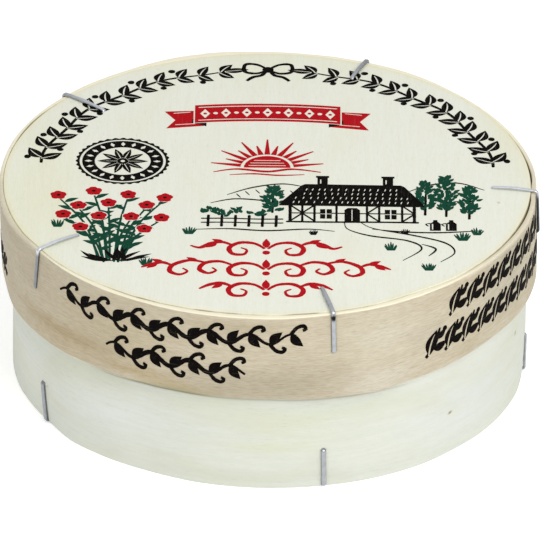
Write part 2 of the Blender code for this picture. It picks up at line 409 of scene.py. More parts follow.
# The marks in the order in which they lie on each other: changes per millimetre along, across and through
# the veneer, detail, distortion, where they begin and are full, the colour they bring, how it is laid on
POPLAR_MARKS = (
    ("Stains", (0.030, 0.085, 0.085), 2.0, 0.6, 0.46, 0.72, "Stain", "MIX"),
    ("Streaks", (0.09, 1.3, 0.13), 3.0, 0.4, 0.34, 0.70, "Deep", "MIX"),
    ("Fibres", (0.50, 4.8, 0.45), 2.0, 0.25, 0.36, 0.68, "Deep", "MIX"),
    ("Pores", (0.42, 6.5, 0.60), 1.0, 0.0, 0.66, 0.78, "Deep", "MULTIPLY"),
)
FIBRE_HEIGHT = 0.7
STREAK_HEIGHT = 0.6
PORE_DEPTH = 0.5
raw_marks = {}
clear_marks = {}
wood_color = poplar_in["Pale"]
for kind, per_mm, detail, distortion, start, full, brought, laid_on in POPLAR_MARKS:
    raw_marks[kind] = stretched_noise(poplar, poplar_in["Grain Position"], per_mm, detail, distortion)
    clear_marks[kind] = fade(poplar, raw_marks[kind], start, full)
    share = calculate(poplar, "MULTIPLY", clear_marks[kind], poplar_in[kind])
    wood_color = mix_colors(poplar, share, wood_color, poplar_in[brought], laid_on)
raised = calculate(poplar, "MULTIPLY", raw_marks["Fibres"], FIBRE_HEIGHT)
raised = calculate(poplar, "MULTIPLY_ADD", clear_marks["Pores"], -PORE_DEPTH, raised)
raised = calculate(poplar, "MULTIPLY_ADD", raw_marks["Streaks"], STREAK_HEIGHT, raised)
poplar.links.new(wood_color, poplar_out["Color"])
poplar.links.new(raised, poplar_out["Height"])
poplar.links.new(fade(poplar, raw_marks["Fibres"], 0.3, 0.7, 0.62, 0.80), poplar_out["Roughness"])

# Places on a bent strip, unrolled: millimetres along the strip from its lap, up, and outward.
unrolled, unrolled_in, unrolled_out = new_group(
    "unrolled strip", [("Position", "Vector"), ("Lap", "Float")], [("Grain Position", "Vector")]
)
turned_back = calculate(unrolled, "SUBTRACT", math.pi, unrolled_in["Lap"])
turn_inputs = {"Vector": unrolled_in["Position"], "Angle": turned_back}
from_lap = add_node(unrolled, "VectorRotate", turn_inputs, rotation_type="Z_AXIS").outputs[0]
apart = add_node(unrolled, "SeparateXYZ", {0: from_lap}).outputs
square = calculate(unrolled, "MULTIPLY", apart[1], apart[1])
outward = calculate(unrolled, "SQRT", calculate(unrolled, "MULTIPLY_ADD", apart[0], apart[0], square))
along = calculate(unrolled, "MULTIPLY", calculate(unrolled, "ARCTAN2", apart[1], apart[0]), outward)
together = add_node(unrolled, "CombineXYZ", {0: along, 1: apart[2], 2: outward}).outputs[0]
unrolled.links.new(calculate_places(unrolled, "MULTIPLY", together, TO_MM), unrolled_out["Grain Position"])


def grain_position(tree, lap):
    """Places in millimetres, the fibres along X, on a strip with this lap or on a disc where lap is None."""
    position = add_node(tree, "TexCoord").outputs["Object"]
    if lap is not None:
        strip = add_node(tree, "Group", {"Position": position, "Lap": lap}, node_tree=unrolled)
        return strip.outputs["Grain Position"]
    quarter_turn = {"Vector": position, "Angle": math.pi / 2}
    turned = add_node(tree, "VectorRotate", quarter_turn, rotation_type="Z_AXIS").outputs[0]
    return calculate_places(tree, "MULTIPLY", turned, TO_MM)


def on_strip(spots, lap, radius):
    """Spots whose first value is an azimuth in degrees, in the millimetres of a strip with this lap."""
    start = lap - math.pi
    return [(turn_between(start, math.radians(azimuth)) * radius / MM, *rest) for azimuth, *rest in spots]


def tinted(tree, color, position, spots):
    """A colour multiplied within soft ovals that are uneven at their edges.

    A spot is its place along and across the fibres and its two half sizes, in millimetres, and its tint.
    """
    random_way = add_node(tree, "TexNoise", {"Vector": position, "Scale": SPOT_WAVES, "Detail": 2.0})
    uneven = calculate_places(tree, "SUBTRACT", random_way.outputs["Color"], (0.5, 0.5, 0.5))
    for along, across, half_along, half_across, tint in spots:
        most_uneven = (min(half_along, SPOT_RAGGED[0]), min(half_across, SPOT_RAGGED[1]), 0.0)
        ragged = calculate_places(tree, "MULTIPLY", uneven, most_uneven)
        away = calculate_places(tree, "SUBTRACT", position, (along, across, 0.0))
        apart = calculate_places(tree, "ADD", away, ragged)
        scaled = calculate_places(tree, "MULTIPLY", apart, (1.0 / half_along, 1.0 / half_across, 0.0))
        distance = add_node(tree, "VectorMath", {0: scaled}, operation="LENGTH").outputs["Value"]
        color = mix_colors(tree, fade(tree, distance, 0.0, 1.0, 1.0, 0.0), color, tint, "MULTIPLY")
    return color


def wood_finish(name, lap, colors, strengths, spots):
    """Bare poplar with its stains and its patches of painted light and shade, on a strip with this lap or on
    a flat disc where lap is None.
    """
    finish, tree, shader, bump = new_finish(name, WOOD_RELIEF, WOOD_GLOSS)
    position = grain_position(tree, lap)
    wood = add_node(tree, "Group", dict(enumerate((position, *colors, *strengths))), node_tree=poplar)
    set_inputs(tree, shader, {"Roughness": wood.outputs["Roughness"]})
    set_inputs(tree, bump, {"Height": wood.outputs["Height"]})
    return finish, tree, shader, tinted(tree, wood.outputs["Color"], position, spots)


DRUM_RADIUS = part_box("base_drum")[1].x
DRUM_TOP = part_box("base_drum")[1].z
base_staples = [staple_place(f"base_staple_{number}", 0.0) for number in range(1, 6)]
drum_tips = [(azimuth, top) for azimuth, inner, low, top in base_staples]


def lid_edge_shade_and_dirt(azimuth):
    """The share and the height on the drum of the dark line of painted shade and dirt at the lid's lower
    edge.
    """
    near = [(local_share(azimuth, place, LID_EDGE_SHADE_AND_DIRT_STEP), height, share) for place, height, share in LID_EDGE_SHADE_AND_DIRT]
    total = max(sum(part for part, height, share in near), 1e-6)
    mean_height = sum(part * height for part, height, share in near) / total * MM
    return sum(part * share for part, height, share in near), mean_height


def drum_radius(azimuth, height):
    """The drum's outer face: not quite round, pulled in by its wires, and tighter where the lid covers it."""
    shown = 1.0 - min(max((height - COVERED_FROM) / COVERED_OVER, 0.0), 1.0)
    low = max(1.0 - height / PULL_HEIGHT, 0.0) ** 2
    swell = DRUM_UNEVEN * unevenness(azimuth, height / 2, DRUM_RADIUS, size=26 * MM, seed=3.0)
    swell += standing_out(azimuth, DRUM_LOBES) + local_sum(azimuth, DRUM_BULGES) * MM
    radius = DRUM_RADIUS + shown * swell - COVERED_TAPER * (1.0 - shown)
    radius += lap_step(azimuth, DRUM_LAP) - low * local_sum(azimuth, DRUM_PULLS) * MM
    return radius - dent(azimuth, height, DRUM_RADIUS, drum_tips)


def drum_place(azimuth, inset, height):
    """Puts a point of the drum's outline, with its lower edge pressed in over each wire."""
    lift = 0.0
    for staple_azimuth, inner, low, top in base_staples:
        across = abs(DRUM_RADIUS * turn_between(staple_azimuth, azimuth)) / NOTCH_HALF
        if across < 1.0:
            lift = NOTCH_HEIGHT * (1.0 - across ** 4)
    height = max(height, lift) if height < NOTCH_HEIGHT else height
    radius = drum_radius(azimuth, height) - inset
    return radius * math.cos(azimuth), radius * math.sin(azimuth), height


wall_rows = [DRUM_EDGE + (DRUM_TOP - 2 * DRUM_EDGE) * row / WALL_ROWS for row in range(1, WALL_ROWS)]
wall_rows += LID_EDGE_SHADE_AND_DIRT_ROWS
wall_rows += [tip + TIP_ROW * step for azimuth, tip in drum_tips for step in range(-4, 5)]
drum_outline = [(DRUM_THICKNESS, DRUM_RECESS)]
drum_outline += arc(DRUM_THICKNESS - DRUM_EDGE, DRUM_EDGE, DRUM_EDGE, 180, 270, 4)
drum_outline += arc(DRUM_EDGE, DRUM_EDGE, DRUM_EDGE, 270, 360, 4)
drum_outline += [(0.0, height) for height in sorted(set(wall_rows))]
drum_outline += arc(DRUM_EDGE, DRUM_TOP - DRUM_EDGE, DRUM_EDGE, 0, 90, 3)
drum_points, drum_faces = sweep_round(
    drum_outline,
    stations(DRUM_STATIONS, [azimuth for azimuth, tip in drum_tips], DRUM_LAP),
    drum_place,
    ((0.0, 0.0, DRUM_RECESS), (0.0, 0.0, DRUM_TOP)),
)
drum_wood, drum_tree, drum_shader, drum_color = wood_finish(
    "greenish white poplar", DRUM_LAP, (DRUM_PALE, DRUM_DEEP, DRUM_STAIN), DRUM_MARKS,
    on_strip(DRUM_STAINS_AND_SHADE, DRUM_LAP, DRUM_RADIUS),
)
# Painted shade and dirt darken the drum in a line under the lid's lower edge
drum_color = mix_colors(drum_tree, painted(drum_tree, "lid_edge_shade_and_dirt"), drum_color, LID_EDGE_SHADE_AND_DIRT_COLOR)
set_inputs(drum_tree, drum_shader, {"Base Color": drum_color})
drum = new_piece("drum", drum_points, drum_faces, drum_wood)
drum_lid_edge_shade_and_dirt = []
for x, y, z in drum_points:
    azimuth = math.atan2(y, x)
    share, height = lid_edge_shade_and_dirt(azimuth)
    height += LID_EDGE_SHADE_AND_DIRT_WAVE * unevenness(azimuth, 0.0, DRUM_RADIUS, size=6 * MM, seed=71.0)
    drum_lid_edge_shade_and_dirt.append(share * math.exp(-((z - height) / LID_EDGE_SHADE_AND_DIRT_HALF) ** 2))
paint(drum, "lid_edge_shade_and_dirt", drum_lid_edge_shade_and_dirt)
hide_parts("base_drum")
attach(drum, "root")

# The drum's flat disc
# A round of the same poplar set a millimetre up inside the drum's lower edge. The base staples hold it.
DISC_EDGE = 0.2 * MM
DISC_RAGGED = 0.06 * MM
BASE_DISC_GAP = 0.12 * MM
DISC_PALE = (0.865, 0.88, 0.78)
DISC_DEEP = (0.76, 0.76, 0.60)
DISC_STAIN = (0.83, 0.83, 0.67)
DISC_EDGE_TINT = (1.0, 0.97, 0.87)
# Painted shade and dirt: the colour of the crevice and of the edges beside it
CREVICE_SHADE_AND_DIRT_COLOR = (0.47, 0.40, 0.26)
DISC_MARKS = (0.20, 0.22, 0.12, 0.50)
# The share of painted shade and dirt at the edge up to which the wood only gets warmer
WARM_UP_TO = 0.6
# Yellowed areas, a few specks, and painted light that brightens the front: place and half sizes in
# millimetres, tint
DISC_STAINS_AND_PAINTED_LIGHT = (
    (-50.0, -8.0, 17.0, 44.0, (1.0, 0.99, 0.91)), (10.0, 52.0, 60.0, 14.0, (0.99, 0.99, 0.94)),
    (52.0, 18.0, 9.0, 22.0, (0.98, 0.97, 0.92)), (48.9, -7.8, 0.62, 0.75, (0.78, 0.67, 0.54)),
    (-14.0, -54.0, 8.0, 1.8, (1.04, 1.04, 1.05)), (8.0, -38.0, 34.0, 12.0, (1.02, 1.02, 1.01)),
)
base_disc_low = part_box("base_disc")[0].z
base_disc_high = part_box("base_disc")[1].z
base_disc_radius = DRUM_RADIUS - DRUM_THICKNESS - BASE_DISC_GAP


def base_disc_place(azimuth, inset, height):
    """Puts a point of the lower disc's outline, a little ragged at its edge."""
    ragged = DISC_RAGGED * unevenness(azimuth, 0.0, DRUM_RADIUS, size=2.5 * MM, seed=11.0)
    radius = base_disc_radius + ragged - inset
    return radius * math.cos(azimuth), radius * math.sin(azimuth), height


base_disc_outline = arc(DISC_EDGE, base_disc_low + DISC_EDGE, DISC_EDGE, 270, 360, 3)
base_disc_outline += arc(DISC_EDGE, base_disc_high - DISC_EDGE, DISC_EDGE, 0, 90, 3)
base_disc_points, base_disc_faces = sweep_round(
    base_disc_outline,
    stations(DRUM_STATIONS, [], DRUM_LAP),
    base_disc_place,
    ((0.0, 0.0, base_disc_low), (0.0, 0.0, base_disc_high)),
)
disc_wood, disc_tree, disc_shader, disc_color = wood_finish(
    "pale cream poplar", None, (DISC_PALE, DISC_DEEP, DISC_STAIN), DISC_MARKS,
    [(-y, x, half_y, half_x, tint) for x, y, half_x, half_y, tint in DISC_STAINS_AND_PAINTED_LIGHT],
)
disc_edge = painted(disc_tree, "edge")
edge_warmth = fade(disc_tree, disc_edge, 0.0, WARM_UP_TO)
# Above this share the edge takes painted shade and dirt
edge_shade_and_dirt = fade(disc_tree, disc_edge, WARM_UP_TO, 1.0)
disc_color = mix_colors(disc_tree, edge_warmth, disc_color, DISC_EDGE_TINT, "MULTIPLY")
disc_color = mix_colors(disc_tree, edge_shade_and_dirt, disc_color, CREVICE_SHADE_AND_DIRT_COLOR)
set_inputs(disc_tree, disc_shader, {"Base Color": disc_color})
base_disc = new_piece("lower_disc", base_disc_points, base_disc_faces, disc_wood)
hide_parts("base_disc")
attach(base_disc, "root")

# The lid's hoop
# A strip of tan poplar, bent not quite round, which bulges between its wires. Its rim is a fresh cut, cream
# and a little rounded, with a painted highlight that makes it brightest at the front. Brown stains lie low on
# its left.
LID_RADIUS = 57.6 * MM
LID_SHIFT = -0.65 * MM
RIM_LOBES = ((2, 0.11, -73.0), (3, 0.14, -11.0), (4, 0.13, 8.0), (5, 0.16, -6.0))
LOWER_EDGE_LOBES = ((1, 0.37, -2.0), (2, 0.28, 64.0))
# Bulges and hollows, which belong to the rim or to the lower edge: middle and half width in degrees,
# height in millimetres. The deepest hollows of the rim lie under the wires at the left and at the right.
RIM_BULGES = (
    (58.0, 15.0, 0.33), (81.0, 10.0, -0.18), (107.0, 16.0, 0.55), (126.0, 10.0, -0.16),
    (-149.5, 18.0, -0.95), (-134.0, 8.0, -0.18), (-108.0, 12.0, 0.17), (-76.0, 12.0, -0.28),
    (-56.0, 9.0, 0.10), (-3.0, 13.0, -0.22), (68.0, 7.0, -0.12), (140.0, 8.0, -0.10),
    (-3.5, 4.0, -0.22), (-80.0, 7.0, -0.16), (-97.0, 8.0, 0.12), (160.0, 14.0, 0.16),
)
RIM_BULGE_DEPTH = 9.5 * MM
LOWER_BULGES = (
    (-170.0, 13.0, -0.50), (-130.0, 9.0, -0.22), (-112.0, 16.0, -0.75), (-102.0, 10.0, -0.35),
    (-91.0, 15.0, -0.80), (-66.0, 9.0, 0.70), (-34.0, 18.0, -0.42),
)
HOOP_THICKNESS = 1.2 * MM
HOOP_LAP = math.radians(104.0)
HOOP_UNEVEN = 0.06 * MM
RIM_ROUNDING = 0.42 * MM
RIM_RISE = 0.10 * MM
RIM_UNEVEN = 0.05 * MM
RIM_FRAYED = 0.02 * MM
LOWER_UNEVEN = 0.10 * MM
# How quickly the unevenness of a cut edge dies away from it
EDGE_POWER = 8
# The least share of its own unevenness that the hoop keeps towards the rim
LEAST_SWELL = 0.3
HOOP_ROWS = 24
HOOP_STATIONS = 600
INNER_ROUNDING = 0.26 * MM
HOOP_EDGE = 0.22 * MM
THINNEST_RIM = 0.55 * MM
LID_DISC_RADIUS = 56.42 * MM
# Where the lid's disc falls short of its circle or stands out: middle and half width in degrees, millimetres
DISC_HOLLOWS = (
    (-56.0, 13.0, -0.45), (-128.0, 9.0, -0.15), (-100.0, 38.0, -0.20), (-12.0, 42.0, 0.12),
)
CREVICE = 0.04 * MM
CREVICE_RAGGED = 0.045 * MM
CREVICE_FRAYED = 0.030 * MM
NARROWEST_CREVICE = 0.01 * MM
# Where the crevice beside the disc is wider, or narrower again: middle and half width in degrees, millimetres
WIDE_CREVICES = (
    (-13.0, 14.0, 0.28), (5.0, 9.0, 0.29), (-26.0, 12.0, 0.05), (154.0, 14.0, 0.26),
    (-2.0, 4.5, -0.26), (13.0, 7.0, 0.10),
)
# Painted shade and dirt in the crevice: middle and half width in degrees, share
CREVICE_SHADE_AND_DIRT_PATCHES = (
    (-174.0, 8.0, 0.20), (-141.0, 5.0, 0.15), (-123.0, 6.0, 0.55), (-117.0, 5.0, 0.90), (-110.0, 6.0, 0.45),
    (-104.0, 4.5, 0.85), (-98.5, 6.0, 0.85), (-92.0, 4.0, 0.45), (-82.0, 7.0, 1.05), (-70.0, 9.0, 0.60),
    (-60.0, 6.0, 0.45), (-33.0, 14.0, 0.60), (-14.0, 22.0, 1.30), (6.0, 19.0, 1.20), (156.0, 22.0, 1.20),
    (-2.5, 4.0, -1.00), (18.0, 8.0, 0.30),
)
CREVICE_SHADE_AND_DIRT_UNEVEN = 0.7
HOOP_PALE = (0.56, 0.50, 0.378)
HOOP_DEEP = (0.40, 0.34, 0.225)
HOOP_STAIN = (0.50, 0.44, 0.315)
HOOP_MARKS = (0.26, 0.50, 0.30, 0.60)
# The fresh cut's cream with a painted highlight, on the rim
RIM_CUT_AND_HIGHLIGHT_COLOR = (0.93, 0.875, 0.68)
CUT_SPECKLE = (0.5, 3.0, 3.0)
# The rim's cut and its painted highlight reach this share of its rounding down, then fade, over a longer way
# where it is dull and shaded
CUT_DEPTH = 0.29
CUT_FADE = 0.12 * MM
DULL_FADE = 1.2 * MM
# The cut's cream and painted highlight are weaker at the right and at the left, where the cut is duller and
# lies in painted shade: middle and half width in degrees, loss
DULL_AND_SHADED_CUTS = ((-15.0, 42.0, 0.90), (-166.0, 26.0, 0.99))
DULLEST = 0.50
# The lower edge's cut is darker, but less so at the left
LOWER_CUT = 0.35
LOWER_CUT_FRESHER = ((-146.0, 28.0, 0.50),)
# The line of painted shade and dirt fills the lower part of the lower edge's rounding and is faint above it
LID_EDGE_SHADE_AND_DIRT_DEPTH = 0.6
LID_EDGE_SHADE_AND_DIRT_FAINT = 0.3
# Stains, and patches of painted light and shade, lighter at the front right and darker under the rim:
# azimuth in degrees, height, half length and half height in millimetres, tint
HOOP_STAINS_AND_PAINTED_LIGHT = (
    (-140.0, 26.0, 20.0, 4.0, (0.92, 0.87, 0.78)), (-119.0, 25.6, 16.0, 2.2, (0.84, 0.77, 0.64)),
    (-126.0, 33.0, 26.0, 11.0, (0.93, 0.90, 0.83)), (-97.0, 26.0, 19.0, 7.0, (0.82, 0.81, 0.80)),
    (-66.0, 25.5, 14.0, 6.0, (1.08, 1.11, 1.20)), (-42.0, 25.5, 8.0, 3.0, (0.90, 0.89, 0.84)),
    (-172.0, 36.0, 14.0, 12.0, (0.92, 0.93, 0.96)), (-66.0, 36.0, 16.0, 9.0, (1.09, 1.12, 1.18)),
    (-28.0, 34.0, 20.0, 12.0, (0.93, 0.95, 0.98)), (-97.0, 40.5, 18.0, 2.4, (0.88, 0.86, 0.82)),
    (-27.0, 41.5, 20.0, 2.4, (0.86, 0.86, 0.86)), (-150.0, 37.0, 14.0, 7.0, (0.95, 0.94, 0.94)),
    (-82.0, 27.0, 17.0, 9.0, (0.83, 0.82, 0.81)), (-140.0, 28.4, 27.0, 2.7, (0.83, 0.76, 0.66)),
    (-54.0, 33.0, 9.0, 7.0, (0.93, 0.93, 0.94)), (-162.0, 40.5, 14.0, 3.0, (0.90, 0.89, 0.88)),
    (-110.0, 23.4, 14.0, 2.6, (0.84, 0.80, 0.66)), (-163.0, 30.0, 6.0, 8.0, (0.93, 0.91, 0.88)),
)
# The wires are pressed into the hoop's face and rim
GROOVE_DEPTH = 0.06 * MM
GROOVE_HALF = 0.52 * MM
GROOVE_SLOPE = 0.14 * MM
hoop_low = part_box("lid_hoop")[0].z
LID_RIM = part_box("lid_hoop")[1].z + RIM_RISE
lid_staples = [staple_place(f"lid_staple_{number}", LID_SHIFT) for number in range(1, 6)]
hoop_tips = [(azimuth, low) for azimuth, inner, low, top in lid_staples]


def lid_outline(azimuth):
    """The rim's outer radius."""
    return LID_RADIUS + standing_out(azimuth, RIM_LOBES) + local_sum(azimuth, RIM_BULGES) * MM


def groove(azimuth, height):
    """How deep a wire is pressed into the hoop."""
    for tip_azimuth, tip_height in hoop_tips:
        beside = abs(LID_RADIUS * turn_between(tip_azimuth, azimuth)) - GROOVE_HALF
        if height > tip_height and beside < GROOVE_SLOPE:
            return GROOVE_DEPTH * min(1.0 - beside / GROOVE_SLOPE, 1.0)
    return 0.0


def hoop_wall(azimuth, height):
    """The lid hoop's outer face, without the grooves and dents under the wires."""
    down = (LID_RIM - height) / (LID_RIM - hoop_low)
    near_rim = max(1.0 - (LID_RIM - height) / RIM_BULGE_DEPTH, 0.0)
    swell = HOOP_UNEVEN * unevenness(azimuth, height * 0.4, LID_RADIUS, size=22 * MM, seed=7.0)
    radius = LID_RADIUS + standing_out(azimuth, RIM_LOBES) + near_rim * local_sum(azimuth, RIM_BULGES) * MM
    radius += down * (standing_out(azimuth, LOWER_EDGE_LOBES) + local_sum(azimuth, LOWER_BULGES) * MM)
    return radius + swell * max(down, LEAST_SWELL) + lap_step(azimuth, HOOP_LAP)


def crevice(azimuth):
    """The width of the gap between the hoop and the lid's disc."""
    width = CREVICE + local_sum(azimuth, WIDE_CREVICES) * MM
    width += CREVICE_RAGGED * unevenness(azimuth, 0.0, LID_RADIUS, size=3.0 * MM, seed=51.0)
    width += CREVICE_FRAYED * unevenness(azimuth, 0.0, LID_RADIUS, size=0.8 * MM, seed=61.0)
    return max(width, NARROWEST_CREVICE)


def disc_outline(azimuth):
    """The radius of the lid's disc, which gives way where the rim is pulled in most."""
    wanted = LID_DISC_RADIUS + local_sum(azimuth, DISC_HOLLOWS) * MM
    return min(wanted, lid_outline(azimuth) - THINNEST_RIM - crevice(azimuth))


def crevice_shade_and_dirt(azimuth):
    """How much painted shade and dirt darken the crevice, in patches and a little unevenly."""
    change = CREVICE_SHADE_AND_DIRT_UNEVEN * unevenness(azimuth, 0.0, LID_RADIUS, size=2.5 * MM, seed=81.0)
    return min(local_sum(azimuth, CREVICE_SHADE_AND_DIRT_PATCHES) * (1.0 + change), 1.0)


def hoop_place(azimuth, inset, height):
    """Puts a point of the hoop's outline, both edges of which are cut a little unevenly."""
    share = (height - hoop_low) / (LID_RIM - hoop_low)
    radius = hoop_wall(azimuth, height) - inset
    if inset < HOOP_THICKNESS / 2:
        radius -= groove(azimuth, height) + dent(azimuth, height, LID_RADIUS, hoop_tips)
    else:
        radius += disc_outline(azimuth) + crevice(azimuth) - lid_outline(azimuth) + HOOP_THICKNESS
    upper_cut = RIM_UNEVEN * unevenness(azimuth, inset * 2, LID_RADIUS, size=4.0 * MM, seed=21.0)
    upper_cut += RIM_FRAYED * unevenness(azimuth, inset * 4, LID_RADIUS, size=0.9 * MM, seed=31.0)
    lower_cut = LOWER_UNEVEN * unevenness(azimuth, 0.0, LID_RADIUS, size=14.0 * MM, seed=41.0)
    raised = height + share ** EDGE_POWER * (upper_cut - groove(azimuth, LID_RIM))
    raised += (1 - share) ** EDGE_POWER * lower_cut
    return radius * math.cos(azimuth) + LID_SHIFT, radius * math.sin(azimuth), raised


wall_foot = hoop_low + HOOP_EDGE
wall_height = LID_RIM - RIM_ROUNDING - wall_foot
hoop_rows = [wall_foot + wall_height * row / HOOP_ROWS for row in range(1, HOOP_ROWS)]
hoop_rows += [tip + TIP_ROW * step for azimuth, tip in hoop_tips for step in range(-3, 4)]
hoop_outline = arc(HOOP_EDGE, wall_foot, HOOP_EDGE, -90, 0, 3)
hoop_outline += [(0.0, height) for height in sorted(set(hoop_rows))]
hoop_outline += arc(RIM_ROUNDING, LID_RIM - RIM_ROUNDING, RIM_ROUNDING, 0, 90, 6)
rim_end = len(hoop_outline)
hoop_outline += arc(HOOP_THICKNESS - INNER_ROUNDING, LID_RIM - INNER_ROUNDING, INNER_ROUNDING, 90, 180, 4)
hoop_outline += [(HOOP_THICKNESS, LID_RIM - step * MM) for step in (1.0, 2.0, 5.0, 10.0)]
hoop_outline += arc(HOOP_THICKNESS - HOOP_EDGE, hoop_low + HOOP_EDGE, HOOP_EDGE, 180, 270, 3)
hoop_azimuths = stations(HOOP_STATIONS, [azimuth for azimuth, tip in hoop_tips], HOOP_LAP)
hoop_points, hoop_faces = sweep_round(hoop_outline, hoop_azimuths, hoop_place)
hoop_wood, hoop_tree, hoop_shader, hoop_color = wood_finish(
    "tan poplar", HOOP_LAP, (HOOP_PALE, HOOP_DEEP, HOOP_STAIN), HOOP_MARKS,
    on_strip(HOOP_STAINS_AND_PAINTED_LIGHT, HOOP_LAP, LID_RADIUS),
)
speckle = stretched_noise(hoop_tree, grain_position(hoop_tree, HOOP_LAP), CUT_SPECKLE, 3.0)
speckle = fade(hoop_tree, speckle, 0.2, 0.45, 0.75, 1.0)
# The rim's cream is its fresh cut with a painted highlight
cut_and_highlight_share = calculate(hoop_tree, "MULTIPLY", painted(hoop_tree, "fresh_cut_and_highlight"), speckle)
hoop_color = mix_colors(hoop_tree, cut_and_highlight_share, hoop_color, RIM_CUT_AND_HIGHLIGHT_COLOR)
# Painted shade and dirt on the hoop's inner face, beside the crevice
hoop_color = mix_colors(hoop_tree, painted(hoop_tree, "edge"), hoop_color, CREVICE_SHADE_AND_DIRT_COLOR)
# Painted shade and dirt darken the hoop's lower edge
hoop_color = mix_colors(hoop_tree, painted(hoop_tree, "lid_edge_shade_and_dirt"), hoop_color, LID_EDGE_SHADE_AND_DIRT_COLOR)
set_inputs(hoop_tree, hoop_shader, {"Base Color": hoop_color})
hoop = new_piece("lid_band", hoop_points, hoop_faces, hoop_wood)
hoop_cut_and_highlight = []
hoop_crevice_shade_and_dirt = []
hoop_lid_edge_shade_and_dirt = []
for azimuth in hoop_azimuths:
    dull_and_shaded = min(local_sum(azimuth, DULL_AND_SHADED_CUTS), DULLEST)
    for row, (inset, height) in enumerate(hoop_outline):
        below = max(LID_RIM - CUT_DEPTH * RIM_ROUNDING - height, 0.0)
        fresh_and_lit = (1.0 - dull_and_shaded) * max(1.0 - below / (CUT_FADE + DULL_FADE * dull_and_shaded), 0.0)
        # The lower edge's rounding carries the line of painted shade and dirt
        line = 0.0
        if height < wall_foot:
            fresh_and_lit = LOWER_CUT + local_sum(azimuth, LOWER_CUT_FRESHER)
            line = lid_edge_shade_and_dirt(azimuth)[0] * (1.0 if height < hoop_low + LID_EDGE_SHADE_AND_DIRT_DEPTH * HOOP_EDGE else LID_EDGE_SHADE_AND_DIRT_FAINT)
        hoop_cut_and_highlight.append(fresh_and_lit)
        # The hoop's inner face beside the crevice takes painted shade and dirt
        hoop_crevice_shade_and_dirt.append(min(max((row - rim_end) / 4, 0.0), 1.0) * crevice_shade_and_dirt(azimuth))
        hoop_lid_edge_shade_and_dirt.append(line)
paint(hoop, "fresh_cut_and_highlight", hoop_cut_and_highlight)
paint(hoop, "edge", hoop_crevice_shade_and_dirt)
paint(hoop, "lid_edge_shade_and_dirt", hoop_lid_edge_shade_and_dirt)
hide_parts("lid_hoop")
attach(hoop, "root")

# The lid's flat disc
# A round of pale poplar, its fibres running from front to back. It stands a hair over the rim, tight against
# the hoop at the rear and with an open crevice at the right and the rear left; painted shade and dirt darken
# its edge in the crevice.
LID_DISC_RISE = 0.13 * MM
LID_DISC_THICKNESS = 1.5 * MM
DISC_UNEVEN = 0.03 * MM
LID_DISC_STATIONS = 720
# The rings of points on the lower and on the upper face, in millimetres from the edge
LOWER_RINGS = (50.0, 40.0, 30.0, 20.0, 10.0, 4.0)
UPPER_RINGS = (0.5, 0.9, 1.4, 2.0, 4.0, 7.0, 11.0, 16.0, 22.0, 29.0, 37.0, 45.0, 51.0)
# Rings this near the edge follow its outline, and the others only its share of the radius
EDGE_RINGS = 3 * MM
# The painted shade and dirt and the warm tint of the edge, on the rows of points from its outermost one
# inward
EDGE_SHADE_AND_DIRT = (1.0, 1.0, 0.95, 0.75, 0.55, 0.42, 0.28, 0.12)
LEAST_SHADE_AND_DIRT = 0.6


def lid_top(x, y):
    """The height of the disc's upper face at a place measured from the lid's axis."""
    wave = DISC_UNEVEN * noise.noise(Vector((x / (16 * MM), y / (40 * MM), 0.0)))
    return LID_RIM + LID_DISC_RISE + wave


def lid_disc_place(azimuth, inset, height):
    """Puts a point of the lid disc's outline. Height counts from the upper face down."""
    outer = disc_outline(azimuth)
    radius = outer - inset if inset < EDGE_RINGS else outer * (1.0 - inset / LID_RADIUS)
    x = radius * math.cos(azimuth)
    y = radius * math.sin(azimuth)
    return x + LID_SHIFT, y, lid_top(x, y) + height


lid_disc_outline = [(inset * MM, -LID_DISC_THICKNESS) for inset in LOWER_RINGS]
lid_disc_outline += arc(DISC_EDGE, DISC_EDGE - LID_DISC_THICKNESS, DISC_EDGE, 270, 360, 3)
darkest_rows = len(lid_disc_outline)
lid_disc_outline += arc(DISC_EDGE, -DISC_EDGE, DISC_EDGE, 0, 90, 4)
lid_disc_outline += [(inset * MM, 0.0) for inset in UPPER_RINGS]
lid_disc_azimuths = stations(LID_DISC_STATIONS, [], HOOP_LAP)
lid_disc_points, lid_disc_faces = sweep_round(
    lid_disc_outline,
    lid_disc_azimuths,
    lid_disc_place,
    [(LID_SHIFT, 0.0, lid_top(0.0, 0.0) - depth) for depth in (LID_DISC_THICKNESS, 0.0)],
)
lid_disc = new_piece("upper_disc", lid_disc_points, lid_disc_faces, disc_wood)
# Painted shade and dirt on the disc's edge and underside, with the warm tint next to it
row_shade_and_dirt = [1.0] * darkest_rows + list(EDGE_SHADE_AND_DIRT)
row_shade_and_dirt += [0.0] * (len(lid_disc_outline) - len(row_shade_and_dirt))
lid_disc_shade_and_dirt = []
for azimuth in lid_disc_azimuths:
    patch = LEAST_SHADE_AND_DIRT + (1.0 - LEAST_SHADE_AND_DIRT) * crevice_shade_and_dirt(azimuth)
    lid_disc_shade_and_dirt += [dirt * patch if dirt > WARM_UP_TO else dirt for dirt in row_shade_and_dirt]
paint(lid_disc, "edge", lid_disc_shade_and_dirt + [0.0, 0.0])
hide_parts("lid_disc")
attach(lid_disc, "root")

# The print on the lid's disc
# A country scene in black, red and green ink, stamped on the bare wood, where it has soaked in along the
# fibres. Each ink is one thin film that follows the wood. A drawing lists outlines and their ink, in
# millimetres from the lid's axis; later ones cover earlier ones, and one without ink leaves the wood bare.
INK_ABOVE = 0.055 * MM
INK_BELOW = 0.03 * MM
INK_RELIEF = 0.01 * MM
INK_GLOSS = 0.02
BLACK_INK = (0.004, 0.003, 0.0025)
RED_INK = (0.46, 0.006, 0.012)
GREEN_INK = (0.006, 0.060, 0.034)
SHOWING_WOOD = (0.62, 0.58, 0.44)

hand = random.Random(7)
disc_print = []


